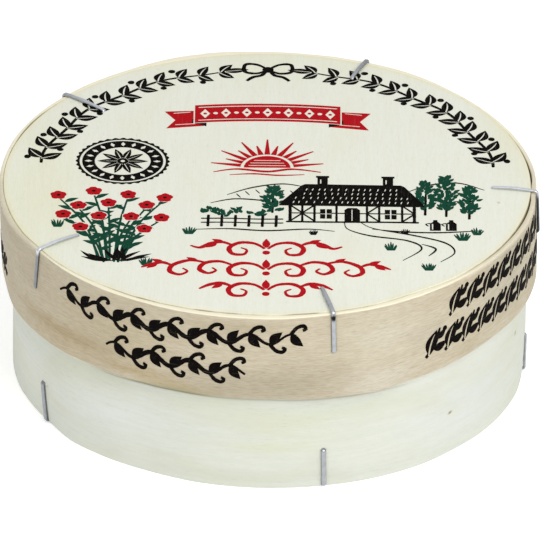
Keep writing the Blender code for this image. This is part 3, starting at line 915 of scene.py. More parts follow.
def smooth_line(points, step=0.5):
    """Closely spaced points on a smooth curve through the given ones."""
    ends = [points[0], *points, points[-1]]
    curve = []
    for before, start, end, after in zip(ends, ends[1:], ends[2:], ends[3:]):
        count = max(2, round(math.dist(start, end) / step))
        for index in range(count):
            t = index / count
            curve.append(tuple(
                b + (c - a) * t / 2
                + (a - 2.5 * b + 2 * c - d / 2) * t ** 2
                + (1.5 * b - a / 2 - 1.5 * c + d / 2) * t ** 3
                for a, b, c, d in zip(before, start, end, after)
            ))
    curve.append(tuple(points[-1]))
    return curve


def moved(points, place=(0.0, 0.0), turn=0.0, side=1):
    """Points turned by degrees about the origin, mirrored for side -1, and put at a place."""
    c = math.cos(math.radians(turn))
    s = math.sin(math.radians(turn))
    return [(place[0] + side * (x * c - y * s), place[1] + x * s + y * c) for x, y in points]


def round_outline(middle, radii):
    """An outline round a middle, whose corners lie at these radii and equal turns."""
    outline = []
    for corner, radius in enumerate(radii):
        turn = 2 * math.pi * corner / len(radii)
        outline.append((middle[0] + radius * math.cos(turn), middle[1] + radius * math.sin(turn)))
    return outline


def spot(drawing, ink, middle, radius, ragged=0.06, corners=14):
    """A round spot with a slightly uneven edge."""
    radii = [radius * (1 + hand.uniform(-ragged, ragged)) for corner in range(corners)]
    drawing.append((round_outline(middle, radii), ink))


def pen(drawing, ink, points, width, start=1.0, end=1.0, step=0.5):
    """A pen stroke through the points, thinned to the given shares of its width at its two ends."""
    curve = smooth_line(points, step)
    sides = []
    for index, (x, y) in enumerate(curve):
        before = curve[max(index - 1, 0)]
        after = curve[min(index + 1, len(curve) - 1)]
        way = math.atan2(after[1] - before[1], after[0] - before[0])
        share = index / (len(curve) - 1)
        half = width / 2 * min(1.0, start + (1 - start) * share * 3, end + (1 - end) * (1 - share) * 3)
        half *= hand.uniform(0.92, 1.08)
        beside = (-half * math.sin(way), half * math.cos(way))
        sides.append(((x + beside[0], y + beside[1]), (x - beside[0], y - beside[1])))
    drawing += [([here[0], here[1], there[1], there[0]], ink) for here, there in zip(sides, sides[1:])]
    for share, middle in ((start, curve[0]), (end, curve[-1])):
        if share == 1.0:
            spot(drawing, ink, middle, width / 2, 0.0)


def leaf(drawing, ink, foot, turn, length, width, rib=0.0, bow=0.0):
    """A pointed leaf from its foot on, bowed sideways, with a bare rib of the given width."""
    upper = []
    lower = []
    for step in range(11):
        share = step / 10
        half = width / 2 * math.sin(math.pi * share ** 0.8)
        middle = bow * math.sin(math.pi * share)
        upper.append((length * share, middle + half))
        lower.append((length * share, middle - half))
    drawing.append((moved(upper + lower[-2:0:-1], foot, turn), ink))
    if rib:
        middle_line = [(length * share, bow * math.sin(math.pi * share)) for share in (0.0, 0.3, 0.6, 0.82)]
        pen(drawing, None, moved(middle_line, foot, turn), rib, 1.0, 0.4)


def ring(drawing, ink, middle, outer, inner, teeth=0, tooth=0.0):
    """A round band, with small teeth on its outer edge if wanted."""
    corners = max(72, teeth * 6)
    waves = [tooth * math.cos(2 * math.pi * corner * teeth / corners) for corner in range(corners)]
    drawing.append((round_outline(middle, [outer + wave for wave in waves]), ink))
    drawing.append((round_outline(middle, [inner] * corners), None))


def laid_round(drawing, radius, start, way):
    """A drawing made along a straight line, laid round the lid from an azimuth on."""
    laid = []
    for points, ink in drawing:
        turns = [(math.radians(start) + way * x / radius, radius + y) for x, y in points]
        laid.append(([(reach * math.cos(turn), reach * math.sin(turn)) for turn, reach in turns], ink))
    return laid


# Along the rear, two branches of broad black leaves and berries meet in a bow.
BRANCH_LENGTH = 62.5
BRANCH_RADIUS = 49.1
LEAF_PAIRS = 13
branch = []
pen(branch, "black", [(x, 0.45 * math.sin(x / 3.2)) for x in range(0, 62, 3)], 0.7, 1.0, 0.5)
for pair in range(LEAF_PAIRS):
    x = 2.0 + pair * (BRANCH_LENGTH - 5.5) / (LEAF_PAIRS - 1)
    y = 0.45 * math.sin(x / 3.2)
    size = 1.0 - 0.18 * pair / LEAF_PAIRS
    for side in (1, -1):
        turn = side * (46 + hand.uniform(-4, 4))
        leaf(branch, "black", (x - 0.2 + 0.2 * side, y), turn, 5.0 * size, 2.7 * size, 0.32, 0.25 * side)
        if pair < LEAF_PAIRS - 1 and (pair + (side > 0)) % 2:
            spot(branch, "black", (x - 0.3, y + side * 3.1), 0.72)
leaf(branch, "black", (BRANCH_LENGTH - 2.5, 0.0), 2, 5.2, 2.1, 0.28)
disc_print += laid_round(branch, BRANCH_RADIUS, 171.0, -1.0) + laid_round(branch, BRANCH_RADIUS, 9.0, 1.0)
for side in (1, -1):
    loop = [(0, 0), (2.3, 2.2), (4.9, 2.3), (5.0, -0.9), (2.4, -1.6), (0, 0)]
    pen(disc_print, "black", moved(loop, (0.0, BRANCH_RADIUS), 0, side), 0.85, 0.7, 0.7)
    end = [(0.3, -0.4), (1.4, -2.4), (3.3, -3.3), (4.6, -4.9)]
    pen(disc_print, "black", moved(end, (0.0, BRANCH_RADIUS), 0, side), 0.9, 0.6, 0.8)
spot(disc_print, "black", (0.0, BRANCH_RADIUS), 1.25)

# In front of them lies a red ribbon with folded ends, two pale lines and a row of diamonds.
RIBBON_SAG = 0.0042


def on_ribbon(x, y):
    """A place on the ribbon, which falls off a little to both sides."""
    return x, y - RIBBON_SAG * x * x


for side in (1, -1):
    for ink, end in (
        ("red", [(13.4, 24.2), (21.8, 22.9), (19.9, 26.5), (22.2, 30.2), (13.4, 30.8)]),
        (None, [(14.5, 25.2), (19.8, 24.5)]),
        (None, [(16.8, 30.1), (20.2, 29.5)]),
        ("black", [(13.2, 24.0), (16.3, 25.4), (16.3, 27.0), (13.2, 27.0)]),
    ):
        if ink:
            disc_print.append((moved(end, side=side), ink))
        else:
            pen(disc_print, None, moved(end, side=side), 0.35)
for half, low, high, ink in ((16.0, 26.2, 34.4, None), (15.7, 26.5, 34.1, "red")):
    lower_edge = [on_ribbon(half * step / 8, low) for step in range(-8, 9)]
    upper_edge = [on_ribbon(half * step / 8, high) for step in range(8, -9, -1)]
    disc_print.append((lower_edge + upper_edge, ink))
for y in (27.5, 33.1):
    pen(disc_print, None, [on_ribbon(14.8 * step / 8, y) for step in range(-8, 9)], 0.42)
for number in range(-6, 7):
    x, y = on_ribbon(number * 2.25, 30.3)
    if number % 2:
        spot(disc_print, None, (x, y), 0.55, 0.0)
    else:
        disc_print.append(([(x - 1.1, y), (x, y - 2.0), (x + 1.1, y), (x, y + 2.0)], None))
        spot(disc_print, "red", (x, y), 0.38, 0.0)

# Under the ribbon a red half sun rises over two wavy lines.
SUN_MIDDLE = (0.0, 6.2)
SUN_RADIUS = 5.0
for ray in range(13):
    reach = 9.6 if ray % 2 else 12.2
    beam = [(5.7, -0.62), (reach, -0.14), (reach, 0.14), (5.7, 0.62)]
    disc_print.append((moved(beam, SUN_MIDDLE, 9 + 13.5 * ray), "red"))
half_sun = [moved([(SUN_RADIUS, 0.0)], SUN_MIDDLE, 10 * step)[0] for step in range(19)]
disc_print.append((half_sun, "red"))
for lift in (0.9, 2.0, 3.1):
    half = math.sqrt(20.0 - lift * lift) - 0.5
    pen(disc_print, None, moved([(-half, lift), (half, lift)], SUN_MIDDLE), 0.34)
pen(disc_print, "red", [(-11.5, 4.2), (-6.5, 5.5), (0.0, 4.5), (5.5, 5.6), (11.5, 4.4)], 0.75, 0.3, 0.3)
pen(disc_print, "red", [(-8.0, 3.0), (-3.0, 3.5), (2.5, 2.9), (8.0, 3.3)], 0.5, 0.3, 0.3)

# At the left is a black rosette in a ring of diamonds.
ROSETTE_MIDDLE = (-31.0, 8.4)
ring(disc_print, "black", ROSETTE_MIDDLE, 9.9, 9.25, 36, 0.22)
ring(disc_print, "black", ROSETTE_MIDDLE, 8.7, 6.0)
for number in range(20):
    place = moved([(7.35, 0.0)], ROSETTE_MIDDLE, 18 * number)[0]
    disc_print.append((moved([(-0.95, 0), (0, -0.5), (0.95, 0), (0, 0.5)], place, 18 * number), None))
for number in range(10):
    foot = moved([(0.9, 0.0)], ROSETTE_MIDDLE, 36 * number)[0]
    leaf(disc_print, "black", foot, 36 * number, 4.5, 1.55, 0.22)
spot(disc_print, "black", ROSETTE_MIDDLE, 1.2, 0.0)
spot(disc_print, None, ROSETTE_MIDDLE, 0.5, 0.0)

# At the right are low hills, and poplars of many green dabs.
for line in (
    [(-8.5, -5.6), (-3.0, -2.4), (3.5, -0.8), (9.0, -2.4)],
    [(30.0, -3.8), (35.0, -0.6), (41.0, 0.3), (46.5, -2.6)],
    [(-12.0, -9.2), (-7.0, -7.4), (-1.0, -8.0), (3.0, -9.6)],
):
    pen(disc_print, "black", line, 0.42, 0.3, 0.3)
for x, y in ((-6.5, -5.2), (-4.6, -4.1), (-2.4, -3.4), (0.4, -2.9), (2.6, -3.2), (5.0, -3.7)):
    pen(disc_print, "black", [(x, y), (x + 0.9, y - 1.6)], 0.25, 0.6, 0.4)
for x, y, height, width in (
    (33.8, -13.5, 13.5, 4.0), (38.3, -14.0, 16.5, 4.6), (43.2, -15.0, 13.0, 4.0), (1.2, -13.0, 10.5, 4.2),
):
    pen(disc_print, "black", [(x, y), (x + 0.2, y + height * 0.75)], 0.55, 1.0, 0.4)
    dabs = int(height * width * 1.35)
    for dab in range(dabs):
        share = (dab + 0.5) / dabs
        half = width / 2 * math.sin(math.pi * (0.12 + 0.86 * share)) ** 0.7
        away = hand.uniform(-1, 1)
        place = (x + away * half * 0.8, y + height * (0.14 + 0.86 * share))
        leaf(disc_print, "green", place, 90 - away * 40 + hand.uniform(-20, 20), 1.7, 0.85)

# Before them stands a long timbered farmhouse, its thatch dotted with short bare strokes.
HOUSE_LEFT = 5.0
HOUSE_RIGHT = 31.5
HOUSE_FOOT = -16.8
HOUSE_BEAM = -13.2
HOUSE_EAVES = -9.4


def upright(drawing, ink, left, foot, right, top):
    """An upright rectangle."""
    drawing.append(([(left, foot), (right, foot), (right, top), (left, top)], ink))


upright(disc_print, None, HOUSE_LEFT, HOUSE_FOOT, HOUSE_RIGHT, HOUSE_EAVES)
for x in (HOUSE_LEFT, 7.6, 10.2, 14.9, 21.4, 24.0, 28.9, HOUSE_RIGHT):
    width = 0.7 if x in (HOUSE_LEFT, HOUSE_RIGHT) else 0.5
    pen(disc_print, "black", [(x, HOUSE_FOOT), (x, HOUSE_EAVES)], width)
pen(disc_print, "black", [(4.4, -16.9), (12.0, -17.0), (24.0, -16.8), (32.2, -16.9)], 0.6)
pen(disc_print, "black", [(HOUSE_LEFT, HOUSE_BEAM), (HOUSE_RIGHT, HOUSE_BEAM)], 0.38)
for x, lean in ((5.0, 2.6), (10.2, -2.6), (24.0, -2.6), (28.9, 2.6)):
    pen(disc_print, "black", [(x, -16.6), (x + lean, -13.3)], 0.42)
    pen(disc_print, "black", [(x + lean, -13.1), (x, -9.8)], 0.42)
for x in (11.4, 25.2):
    upright(disc_print, "black", x, -15.5, x + 2.5, -11.5)
    pen(disc_print, None, [(x + 1.25, -15.4), (x + 1.25, -11.6)], 0.3)
    pen(disc_print, None, [(x + 0.1, -13.5), (x + 2.4, -13.5)], 0.3)
door = [(16.6, -16.8), (19.9, -16.8), (19.9, -11.8), (19.2, -10.9), (17.3, -10.9), (16.6, -11.8)]
disc_print.append((door, "black"))
pen(disc_print, None, [(18.2, -16.3), (18.2, -11.6)], 0.22)
roof = [
    (2.6, -10.0), (33.8, -10.2), (33.0, -8.2), (29.4, -1.6),
    (28.6, -1.0), (8.2, -0.8), (7.4, -1.4), (3.4, -8.0),
]
disc_print.append((roof, "black"))
for row in range(4):
    y = -2.6 - 1.8 * row
    x = 8.6 - 1.15 * row + 0.7 * (row % 2)
    while x < 28.0 + 1.15 * row:
        pen(disc_print, None, [(x, y), (x - 0.25, y - 1.0)], 0.28, 0.7, 0.5)
        x += hand.uniform(1.1, 1.7)
for x in (10.8, 24.8):
    upright(disc_print, "black", x, -1.2, x + 2.2, 2.2)
    upright(disc_print, "black", x - 0.3, 2.1, x + 2.5, 2.8)
    pen(disc_print, None, [(x + 0.7, -0.4), (x + 0.7, 1.2)], 0.28)

# Round the house are a hedge, a fence, two milk churns, a lane and tufts of grass.
for dab in range(46):
    x = hand.uniform(-13.5, 3.5)
    y = -13.4 + 0.9 * math.sin(x * 0.9) + hand.uniform(-0.9, 0.9)
    leaf(disc_print, "green", (x, y), hand.uniform(30, 150), 1.7, 0.9)
for x in (-12.5, -9.6, -6.7, -3.8, -0.9, 2.0):
    pen(disc_print, "black", [(x, -19.0), (x + 0.1, -14.6)], 0.62)
for y in (-15.9, -17.6):
    pen(disc_print, "black", [(-13.8, y), (-8.0, y + 0.15), (-2.0, y - 0.1), (3.4, y)], 0.4)
for place in ((34.8, -20.2), (38.2, -20.2)):
    churn = [(0, 0), (2.3, 0), (2.3, 2.9), (1.6, 3.8), (1.6, 4.5), (0.7, 4.5), (0.7, 3.8), (0, 2.9)]
    disc_print.append((moved(churn, place), "black"))
    pen(disc_print, None, moved([(0.55, 0.6), (0.55, 2.8)], place), 0.3)
    pen(disc_print, "black", moved([(-0.4, 2.0), (-0.9, 2.7), (0.0, 3.1)], place), 0.3)
for line in (
    [(-15.0, -20.6), (-8.0, -20.2), (0.0, -20.9), (9.0, -20.1), (14.5, -20.9)],
    [(22.5, -19.8), (30.0, -20.9), (37.5, -21.0), (46.0, -20.0)],
    [(16.6, -17.2), (17.4, -20.0), (22.0, -22.6), (30.0, -24.6), (33.0, -28.0), (29.0, -33.0)],
    [(20.2, -17.2), (23.0, -19.6), (31.0, -22.2), (38.0, -25.4), (40.0, -29.5), (37.0, -33.5)],
    [(33.0, -26.0), (36.0, -28.0), (34.5, -31.0)],
):
    pen(disc_print, "black", line, 0.48, 0.3, 0.3)
for x, y, size, ink in (
    (-16.5, -22.5, 0.9, "green"), (41.8, -24.2, 1.0, "green"), (44.8, -21.8, 0.8, "green"),
    (26.5, -28.6, 0.9, "green"), (-44.5, -20.0, 0.9, "green"), (-25.5, -36.0, 0.9, "green"),
    (34.5, -37.0, 0.9, "green"), (29.5, -21.6, 0.6, "black"), (10.0, -22.4, 0.6, "black"),
):
    for blade in range(-3, 4):
        lean = math.radians(12 * blade + hand.uniform(-4, 4))
        reach = size * (3.6 - 0.24 * abs(blade) + hand.uniform(-0.4, 0.4))
        tip = (x + reach * math.sin(lean), y + reach * math.cos(lean))
        pen(disc_print, ink, [(x + 0.25 * blade * size, y), tip], 0.42 * size, 1.0, 0.2)

# At the left grows a bush of poppies.
FLOWERS = [
    (-44.5, -6.5), (-40.2, -10.8), (-37.0, -4.6), (-33.8, -9.6), (-29.6, -6.0), (-25.6, -10.4), (-21.8, -7.2),
    (-43.4, -14.6), (-35.8, -15.2), (-28.9, -15.4), (-22.4, -15.8), (-39.6, -20.0), (-26.0, -20.6),
]
BUSH_FOOT = (-33.0, -34.0)
for number, (x, y) in enumerate(FLOWERS):
    foot = (BUSH_FOOT[0] + 0.22 * (x - BUSH_FOOT[0]), BUSH_FOOT[1] + 0.8 * math.sin(number))
    knee = (foot[0] + 0.35 * (x - foot[0]), foot[1] + 0.55 * (y - foot[1]))
    pen(disc_print, "green", [foot, knee, (x, y - 1.0)], 0.5, 1.0, 0.7)
    for share, side in ((0.6, 1), (0.9, -1), (1.2, 1), (1.5, -1), (1.76, 1)):
        start, end = (foot, knee) if share < 1.0 else (knee, (x, y))
        place = tuple(a + (b - a) * (share % 1.0) for a, b in zip(start, end))
        leaf(disc_print, "green", place, 90 - side * (52 + hand.uniform(-10, 10)), 3.4, 1.25, 0.0, 0.2 * side)
for number in range(12):
    place = (BUSH_FOOT[0] + hand.uniform(-3.5, 3.5), BUSH_FOOT[1] - 0.5)
    leaf(disc_print, "black", place, 90 + (number - 5.5) * 13, 6.2, 1.0, 0.0, 0.3)
for middle in FLOWERS:
    spot(disc_print, None, middle, 2.0, 0.05)
    for petal in range(5):
        place = moved([(0.85, 0.0)], middle, 90 + 72 * petal + hand.uniform(-8, 8))[0]
        spot(disc_print, "red", place, 0.95, 0.08, 12)
    spot(disc_print, "black", middle, 0.42, 0.1, 8)

# Three rows of red scrolls fill the front.
SCROLL = [(0.3, 0.0), (2.2, 1.9), (5.0, 2.2), (7.0, 0.3), (6.4, -2.0), (4.3, -2.2), (3.7, -0.6), (4.8, 0.3)]
SECOND_SCROLL = [(6.2, 1.4), (8.8, 2.9), (11.6, 2.2), (12.6, -0.1), (11.0, -1.6), (9.5, -0.6), (10.2, 0.5)]
THIRD_SCROLL = [(11.4, 2.4), (14.5, 3.2), (17.6, 1.4), (18.2, -1.0), (16.4, -2.2), (14.9, -1.0), (15.8, 0.2)]
SHORT_TAIL = [(6.4, 1.2), (8.4, 2.4), (10.6, 1.8), (12.6, 0.2), (14.4, 1.0)]
LONG_TAIL = [(17.8, 1.2), (19.6, 2.3), (21.6, 1.6), (23.6, 0.4)]
SCROLL_SIZE = 1.12
LONG_ROW = (SCROLL, SECOND_SCROLL, THIRD_SCROLL, LONG_TAIL)
# The rows: their height, their curls, and their leaves as places and turns
SCROLL_ROWS = (
    (-28.6, (SCROLL, SHORT_TAIL), ((8.0, 2.2, 28), (9.4, 1.9, -38))),
    (-37.4, LONG_ROW, ((12.9, 2.8, 35), (19.4, 2.2, 30), (20.6, 1.9, -42))),
    (-46.0, (SCROLL, SHORT_TAIL[:4]), ((8.2, 2.1, -40),)),
)
for y, curls, leaves in SCROLL_ROWS:
    for side in (1, -1):
        for curl in curls:
            line = [(SCROLL_SIZE * x, SCROLL_SIZE * height) for x, height in curl]
            pen(disc_print, "red", moved(line, (0.0, y), 0, side), 1.1, 0.55, 0.35, 0.4)
        for x, height, turn in leaves:
            foot = moved([(SCROLL_SIZE * x, SCROLL_SIZE * height)], (0.0, y), 0, side)[0]
            leaf(disc_print, "red", foot, turn if side > 0 else 180 - turn, 3.0, 1.35)
    leaf(disc_print, "red", (0.0, y + 0.4), 90, 3.8, 1.7)
    spot(disc_print, "red", (0.0, y - 1.7), 0.82)

# Ink, for every film: the wood's fibres show through it a little, and it is thinner in small flecks.
soaked, soaked_in, soaked_out = new_group(
    "soaked ink",
    [("Grain Position", "Vector"), ("Ink", "Color"), ("Wood", "Color")],
    [("Color", "Color"), ("Height", "Float"), ("Roughness", "Float")],
)
ink_fibres = stretched_noise(soaked, soaked_in["Grain Position"], (0.16, 3.6, 3.6), 3.0, 0.2)
ink_flecks = stretched_noise(soaked, soaked_in["Grain Position"], (2.4, 3.2, 3.2), 2.0)
through_fibres = fade(soaked, ink_fibres, 0.58, 0.80, 0.0, 0.07)
through_flecks = fade(soaked, ink_flecks, 0.64, 0.82, 0.0, 0.12)
thin = calculate(soaked, "ADD", through_fibres, through_flecks)
soaked.links.new(mix_colors(soaked, thin, soaked_in["Ink"], soaked_in["Wood"]), soaked_out["Color"])
soaked.links.new(ink_fibres, soaked_out["Height"])
soaked.links.new(fade(soaked, ink_fibres, 0.3, 0.7, 0.55, 0.75), soaked_out["Roughness"])


def ink_finish(name, color, lap):
    """Ink on a strip with this lap, or on a flat disc where lap is None."""
    finish, tree, shader, bump = new_finish(name, INK_RELIEF, INK_GLOSS)
    film_inputs = {"Grain Position": grain_position(tree, lap), "Ink": color, "Wood": SHOWING_WOOD}
    film = add_node(tree, "Group", film_inputs, node_tree=soaked)
    set_inputs(tree, shader, {"Base Color": film.outputs["Color"], "Roughness": film.outputs["Roughness"]})
    set_inputs(tree, bump, {"Height": film.outputs["Height"]})
    return finish


def ink_triangles(drawing):
    """The corners of the whole drawing's triangles, and the triangles that each ink covers on top of all."""
    corners = []
    outlines = []
    for points, ink in drawing:
        following = points[1:] + points[:1]
        area = sum(x * next_y - next_x * y for (x, y), (next_x, next_y) in zip(points, following))
        outlines.append([len(corners) + index for index in range(len(points))])
        corners += [Vector(point) for point in (points if area > 0 else reversed(points))]
    cut_up = delaunay_2d_cdt(corners, [], outlines, 1, 1e-5)
    places, triangles, from_outlines = cut_up[0], cut_up[2], cut_up[5]
    covered = {}
    for triangle, shapes in zip(triangles, from_outlines):
        ink = drawing[max(shapes)][1] if shapes else None
        if ink:
            covered.setdefault(ink, []).append(triangle)
    return places, covered


def new_film(name, places, triangles, lay, finish):
    """A closed thin film over the triangles. Lay(x, y, lift) puts a corner at a height over the wood."""
    used = sorted({corner for triangle in triangles for corner in triangle})
    order = {corner: index for index, corner in enumerate(used)}
    points = [lay(*places[corner], lift) for lift in (INK_ABOVE, -INK_BELOW) for corner in used]
    upper = [tuple(order[corner] for corner in triangle) for triangle in triangles]
    lower = [tuple(len(used) + corner for corner in reversed(triangle)) for triangle in upper]
    edges = {(a, b) for triangle in upper for a, b in zip(triangle, triangle[1:] + triangle[:1])}
    rim = [(b, a, len(used) + a, len(used) + b) for a, b in edges if (b, a) not in edges]
    film = new_piece(name, points, upper + lower + rim, finish)
    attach(film, "root")


def lay_on_disc(x, y, lift):
    """Puts a corner of the drawing on the lid's disc."""
    return x * MM + LID_SHIFT, y * MM, lid_top(x * MM, y * MM) + lift


disc_places, disc_inks = ink_triangles(disc_print)
for ink, color in (("black", BLACK_INK), ("red", RED_INK), ("green", GREEN_INK)):
    finish = ink_finish(f"{ink} ink on the disc", color, None)
    new_film(f"top_print_{ink}", disc_places, disc_inks[ink], lay_on_disc, finish)

# The print on the lid's hoop
# Two kinds of black ornament stamped on the strip before it was bent: a vine in two rows, and two rows of
# broad slanted leaves. Each shows twice round the lid, and the wires lie between them.
# Groups: azimuth of the ornament's middle, and its rows as the height of the middle line and the first and
# last place along the strip from there
VINES = (
    (-111.0, ((37.9, -28.5, 28.5), (29.9, -15.0, 18.0))),
    (32.6, ((37.9, -28.5, 28.5), (29.9, -15.0, 18.0))),
)
LEAVES = (
    (-27.5, ((38.2, -17.0, 21.2), (30.2, -23.5, 24.6))),
    (161.0, ((38.2, -24.0, 12.0), (29.2, -20.0, 31.0))),
)
VINE_WAVE = 8.8
# The twig's leaves: foot, turn, length, width, rib and bow
TWIG_LEAVES = (
    ((-2.1, -2.6), 68, 5.9, 2.9, 0.45, 0.45),
    ((-0.9, -1.6), 14, 3.9, 2.0, 0.0, -0.3),
    ((0.1, 0.6), 38, 3.2, 1.5, 0.0, -0.2),
)


def vine_row(drawing, level, first, last):
    """A wavy stem with a leaf and a tendril at each of its bends."""
    wave = []
    for step in range(int((last - first) / VINE_WAVE * 8) + 1):
        x = step * VINE_WAVE / 8
        wave.append((first + x, level + 1.2 * math.sin(2 * math.pi * x / VINE_WAVE)))
    pen(drawing, "black", wave, 1.15, 0.4, 0.4)
    for side, (x, y) in zip((-1, 1) * len(wave), wave[2::4]):
        leaf(drawing, "black", (x, y), side * (48 + hand.uniform(-8, 8)), 4.0, 2.0, 0.0, side * 0.3)
        tendril = [(0.0, 0.0), (1.2, -side * 1.5), (2.6, -side * 1.9), (3.2, -side * 1.1), (2.5, -side * 0.8)]
        pen(drawing, "black", moved(tendril, (x, y)), 0.9, 0.9, 0.7, 0.35)


def leaf_row(drawing, level, first, last):
    """Slanted twigs side by side, each with three leaves and a berry."""
    count = round((last - first) / 5.3)
    for number in range(count + 1):
        place = (first + (last - first) * number / count, level)
        pen(drawing, "black", moved([(-2.9, -3.0), (-0.6, -0.6), (0.9, 3.1)], place), 1.0, 0.8, 0.5)
        for foot, *looks in TWIG_LEAVES:
            leaf(drawing, "black", moved([foot], place)[0], *looks)
        spot(drawing, "black", moved([(2.3, 2.5)], place)[0], 0.62)


def lay_on_hoop(x, y, lift):
    """Puts a corner of the drawing, given along and up the strip, on the lid's hoop."""
    return hoop_place(x * MM / LID_RADIUS, -lift, y * MM)


hoop_print = []
for draw_row, groups in ((vine_row, VINES), (leaf_row, LEAVES)):
    for azimuth, rows in groups:
        along = math.radians(azimuth) * LID_RADIUS / MM
        for level, first, last in rows:
            draw_row(hoop_print, level, along + first, along + last)
hoop_places, hoop_inks = ink_triangles(hoop_print)
hoop_ink = ink_finish("black ink on the hoop", BLACK_INK, HOOP_LAP)
new_film("band_print_black", hoop_places, hoop_inks["black"], lay_on_hoop, hoop_ink)

# The staples
# Flattened zinc-coated wire, bent over each joint of disc and hoop, its ends turned into the wood. The leg on
# the disc is a little bowed and narrower at its end. The zinc is duller on some legs than on others, and
# painted shade darkens some legs and every wire's narrow sides; a painted dark reflection lies past some
# bends.
WIRE_GLOSS = 0.5
WIRE_RELIEF = 0.004 * MM
WIRE_BEND = 0.62 * MM
TIP_BEND = 0.45 * MM
TIP_LENGTH = 1.1 * MM
TIP_SLANT = 0.1 * MM
TIP_TAPER = 0.45
INNER_TAPER = 0.80
LEG_BOW = 0.22 * MM
BOW_BEND = 22.0 * MM
BENDS = (TIP_BEND, BOW_BEND, WIRE_BEND, TIP_BEND)
WIRE_GAP = 0.02 * MM
WIRE_STEP = 0.35 * MM
WIRE_SIDES = 24
WIRE_SQUARENESS = 2.6
# Each staple's looks: turns in degrees of its inner end, its bend and its other end against its middle, how
# dull the zinc and how deep its painted shade are at these three, how strong a painted dark reflection is
# past the bend, the wire's share of the full width
LID_LOOKS = (
    ((0.0, 0.0, 0.3), (0.10, 0.45, 0.45), 0.2, 1.0), ((0.0, 0.0, 0.0), (0.35, 0.62, 0.50), 0.2, 1.0),
    ((0.9, -0.2, -1.2), (0.05, 0.15, 0.92), 0.0, 0.78), ((0.2, -0.2, 0.0), (0.42, 0.36, 0.52), 2.2, 0.96),
    ((-0.8, 0.4, 0.3), (0.12, 0.0, 0.72), 0.0, 0.92),
)
# How far each lid wire rises over the rim and stands off the hoop, and how much longer each outer leg is, in
# millimetres
LID_FITS = ((0.0, 0.0, 0.0), (0.0, 0.0, 0.0), (0.0, 0.20, 0.0), (0.28, 0.0, 0.25), (0.0, 0.0, 0.0))
BASE_LOOKS = (
    ((0.0, 0.0, 0.0), (0.45, 0.45, 0.45), 0.0, 1.0), ((0.0, 0.0, 0.3), (0.45, 0.45, 0.45), 0.0, 1.0),
    ((0.0, 0.2, -0.3), (0.40, 0.42, 0.42), 0.0, 0.9), ((0.0, 0.1, -0.1), (0.50, 0.50, 0.55), 0.0, 1.05),
    ((0.0, -0.3, -1.4), (0.50, 0.58, 0.62), 0.0, 1.3),
)
BASE_LONGER = (0.0, 0.0, 0.8, 0.0, 0.0)
# The dullness and painted shade past the bend come within this share of the outer leg
DULL_OVER = 1 / 8
# A painted dark reflection just past the bend: its place along the wire, its half length, and its half width
# as a share
DARK_REFLECTION_PLACE = 0.88 * MM
DARK_REFLECTION_HALF = 0.52 * MM
DARK_REFLECTION_ACROSS = 0.72
WIRE_COLOR = (0.86, 0.90, 0.96)
WIRE_DULL = (0.76, 0.80, 0.85)
# Dull zinc, painted shade and the painted dark reflection are mixed towards this colour
WIRE_DULL_AND_SHADE_COLOR = (0.015, 0.016, 0.018)
# Painted shade darkens the wire's narrow sides, from this share of its half width outward
WIRE_SIDE_FROM = 0.80
WIRE_SIDE_SHADE = 0.30

wire_finish, wire_tree, wire_shader, wire_bump = new_finish("zinc wire", WIRE_RELIEF, WIRE_GLOSS)
wire_object = add_node(wire_tree, "TexCoord").outputs["Object"]
wire_place = calculate_places(wire_tree, "MULTIPLY", wire_object, TO_MM)
wire_clouds = stretched_noise(wire_tree, wire_place, (0.8, 0.8, 0.8), 3.0)
wire_scratch = stretched_noise(wire_tree, wire_place, (5.0, 5.0, 5.0), 2.0)
wire_zinc = mix_colors(wire_tree, fade(wire_tree, wire_clouds, 0.35, 0.7), WIRE_COLOR, WIRE_DULL)
set_inputs(wire_tree, wire_shader, {
    "Metallic": 1.0,
    "Base Color": mix_colors(wire_tree, painted(wire_tree, "dull_zinc_and_painted_shade"), wire_zinc, WIRE_DULL_AND_SHADE_COLOR),
    "Roughness": fade(wire_tree, wire_clouds, 0.3, 0.7, 0.28, 0.40),
})
set_inputs(wire_tree, wire_bump, {"Height": wire_scratch})


def bent_route(corners):
    """Closely spaced points through corners of (radius, height), all but the two ends bent in arcs."""
    route = [corners[0]]
    for before, corner, after, bend in zip(corners, corners[1:], corners[2:], BENDS):
        incoming = math.atan2(corner[1] - before[1], corner[0] - before[0])
        outgoing = math.atan2(after[1] - corner[1], after[0] - corner[0])
        turn = turn_between(incoming, outgoing)
        side = math.copysign(math.pi / 2, turn)
        reach = bend * math.tan(abs(turn) / 2)
        start = (corner[0] - reach * math.cos(incoming), corner[1] - reach * math.sin(incoming))
        centre = (start[0] + bend * math.cos(incoming + side), start[1] + bend * math.sin(incoming + side))
        for step in range(9):
            angle = incoming - side + turn * step / 8
            route.append((centre[0] + bend * math.cos(angle), centre[1] + bend * math.sin(angle)))
    route.append(corners[-1])
    close = [route[0]]
    for start, end in zip(route, route[1:]):
        pieces = max(1, round(math.dist(start, end) / WIRE_STEP))
        for piece in range(1, pieces + 1):
            close.append(tuple(a + (b - a) * piece / pieces for a, b in zip(start, end)))
    return close


def rounded_square(angle):
    """Cosine and sine of an angle, pushed out towards the corners of a square."""
    power = 2 / WIRE_SQUARENESS
    return [math.copysign(abs(part) ** power, part) for part in (math.cos(angle), math.sin(angle))]


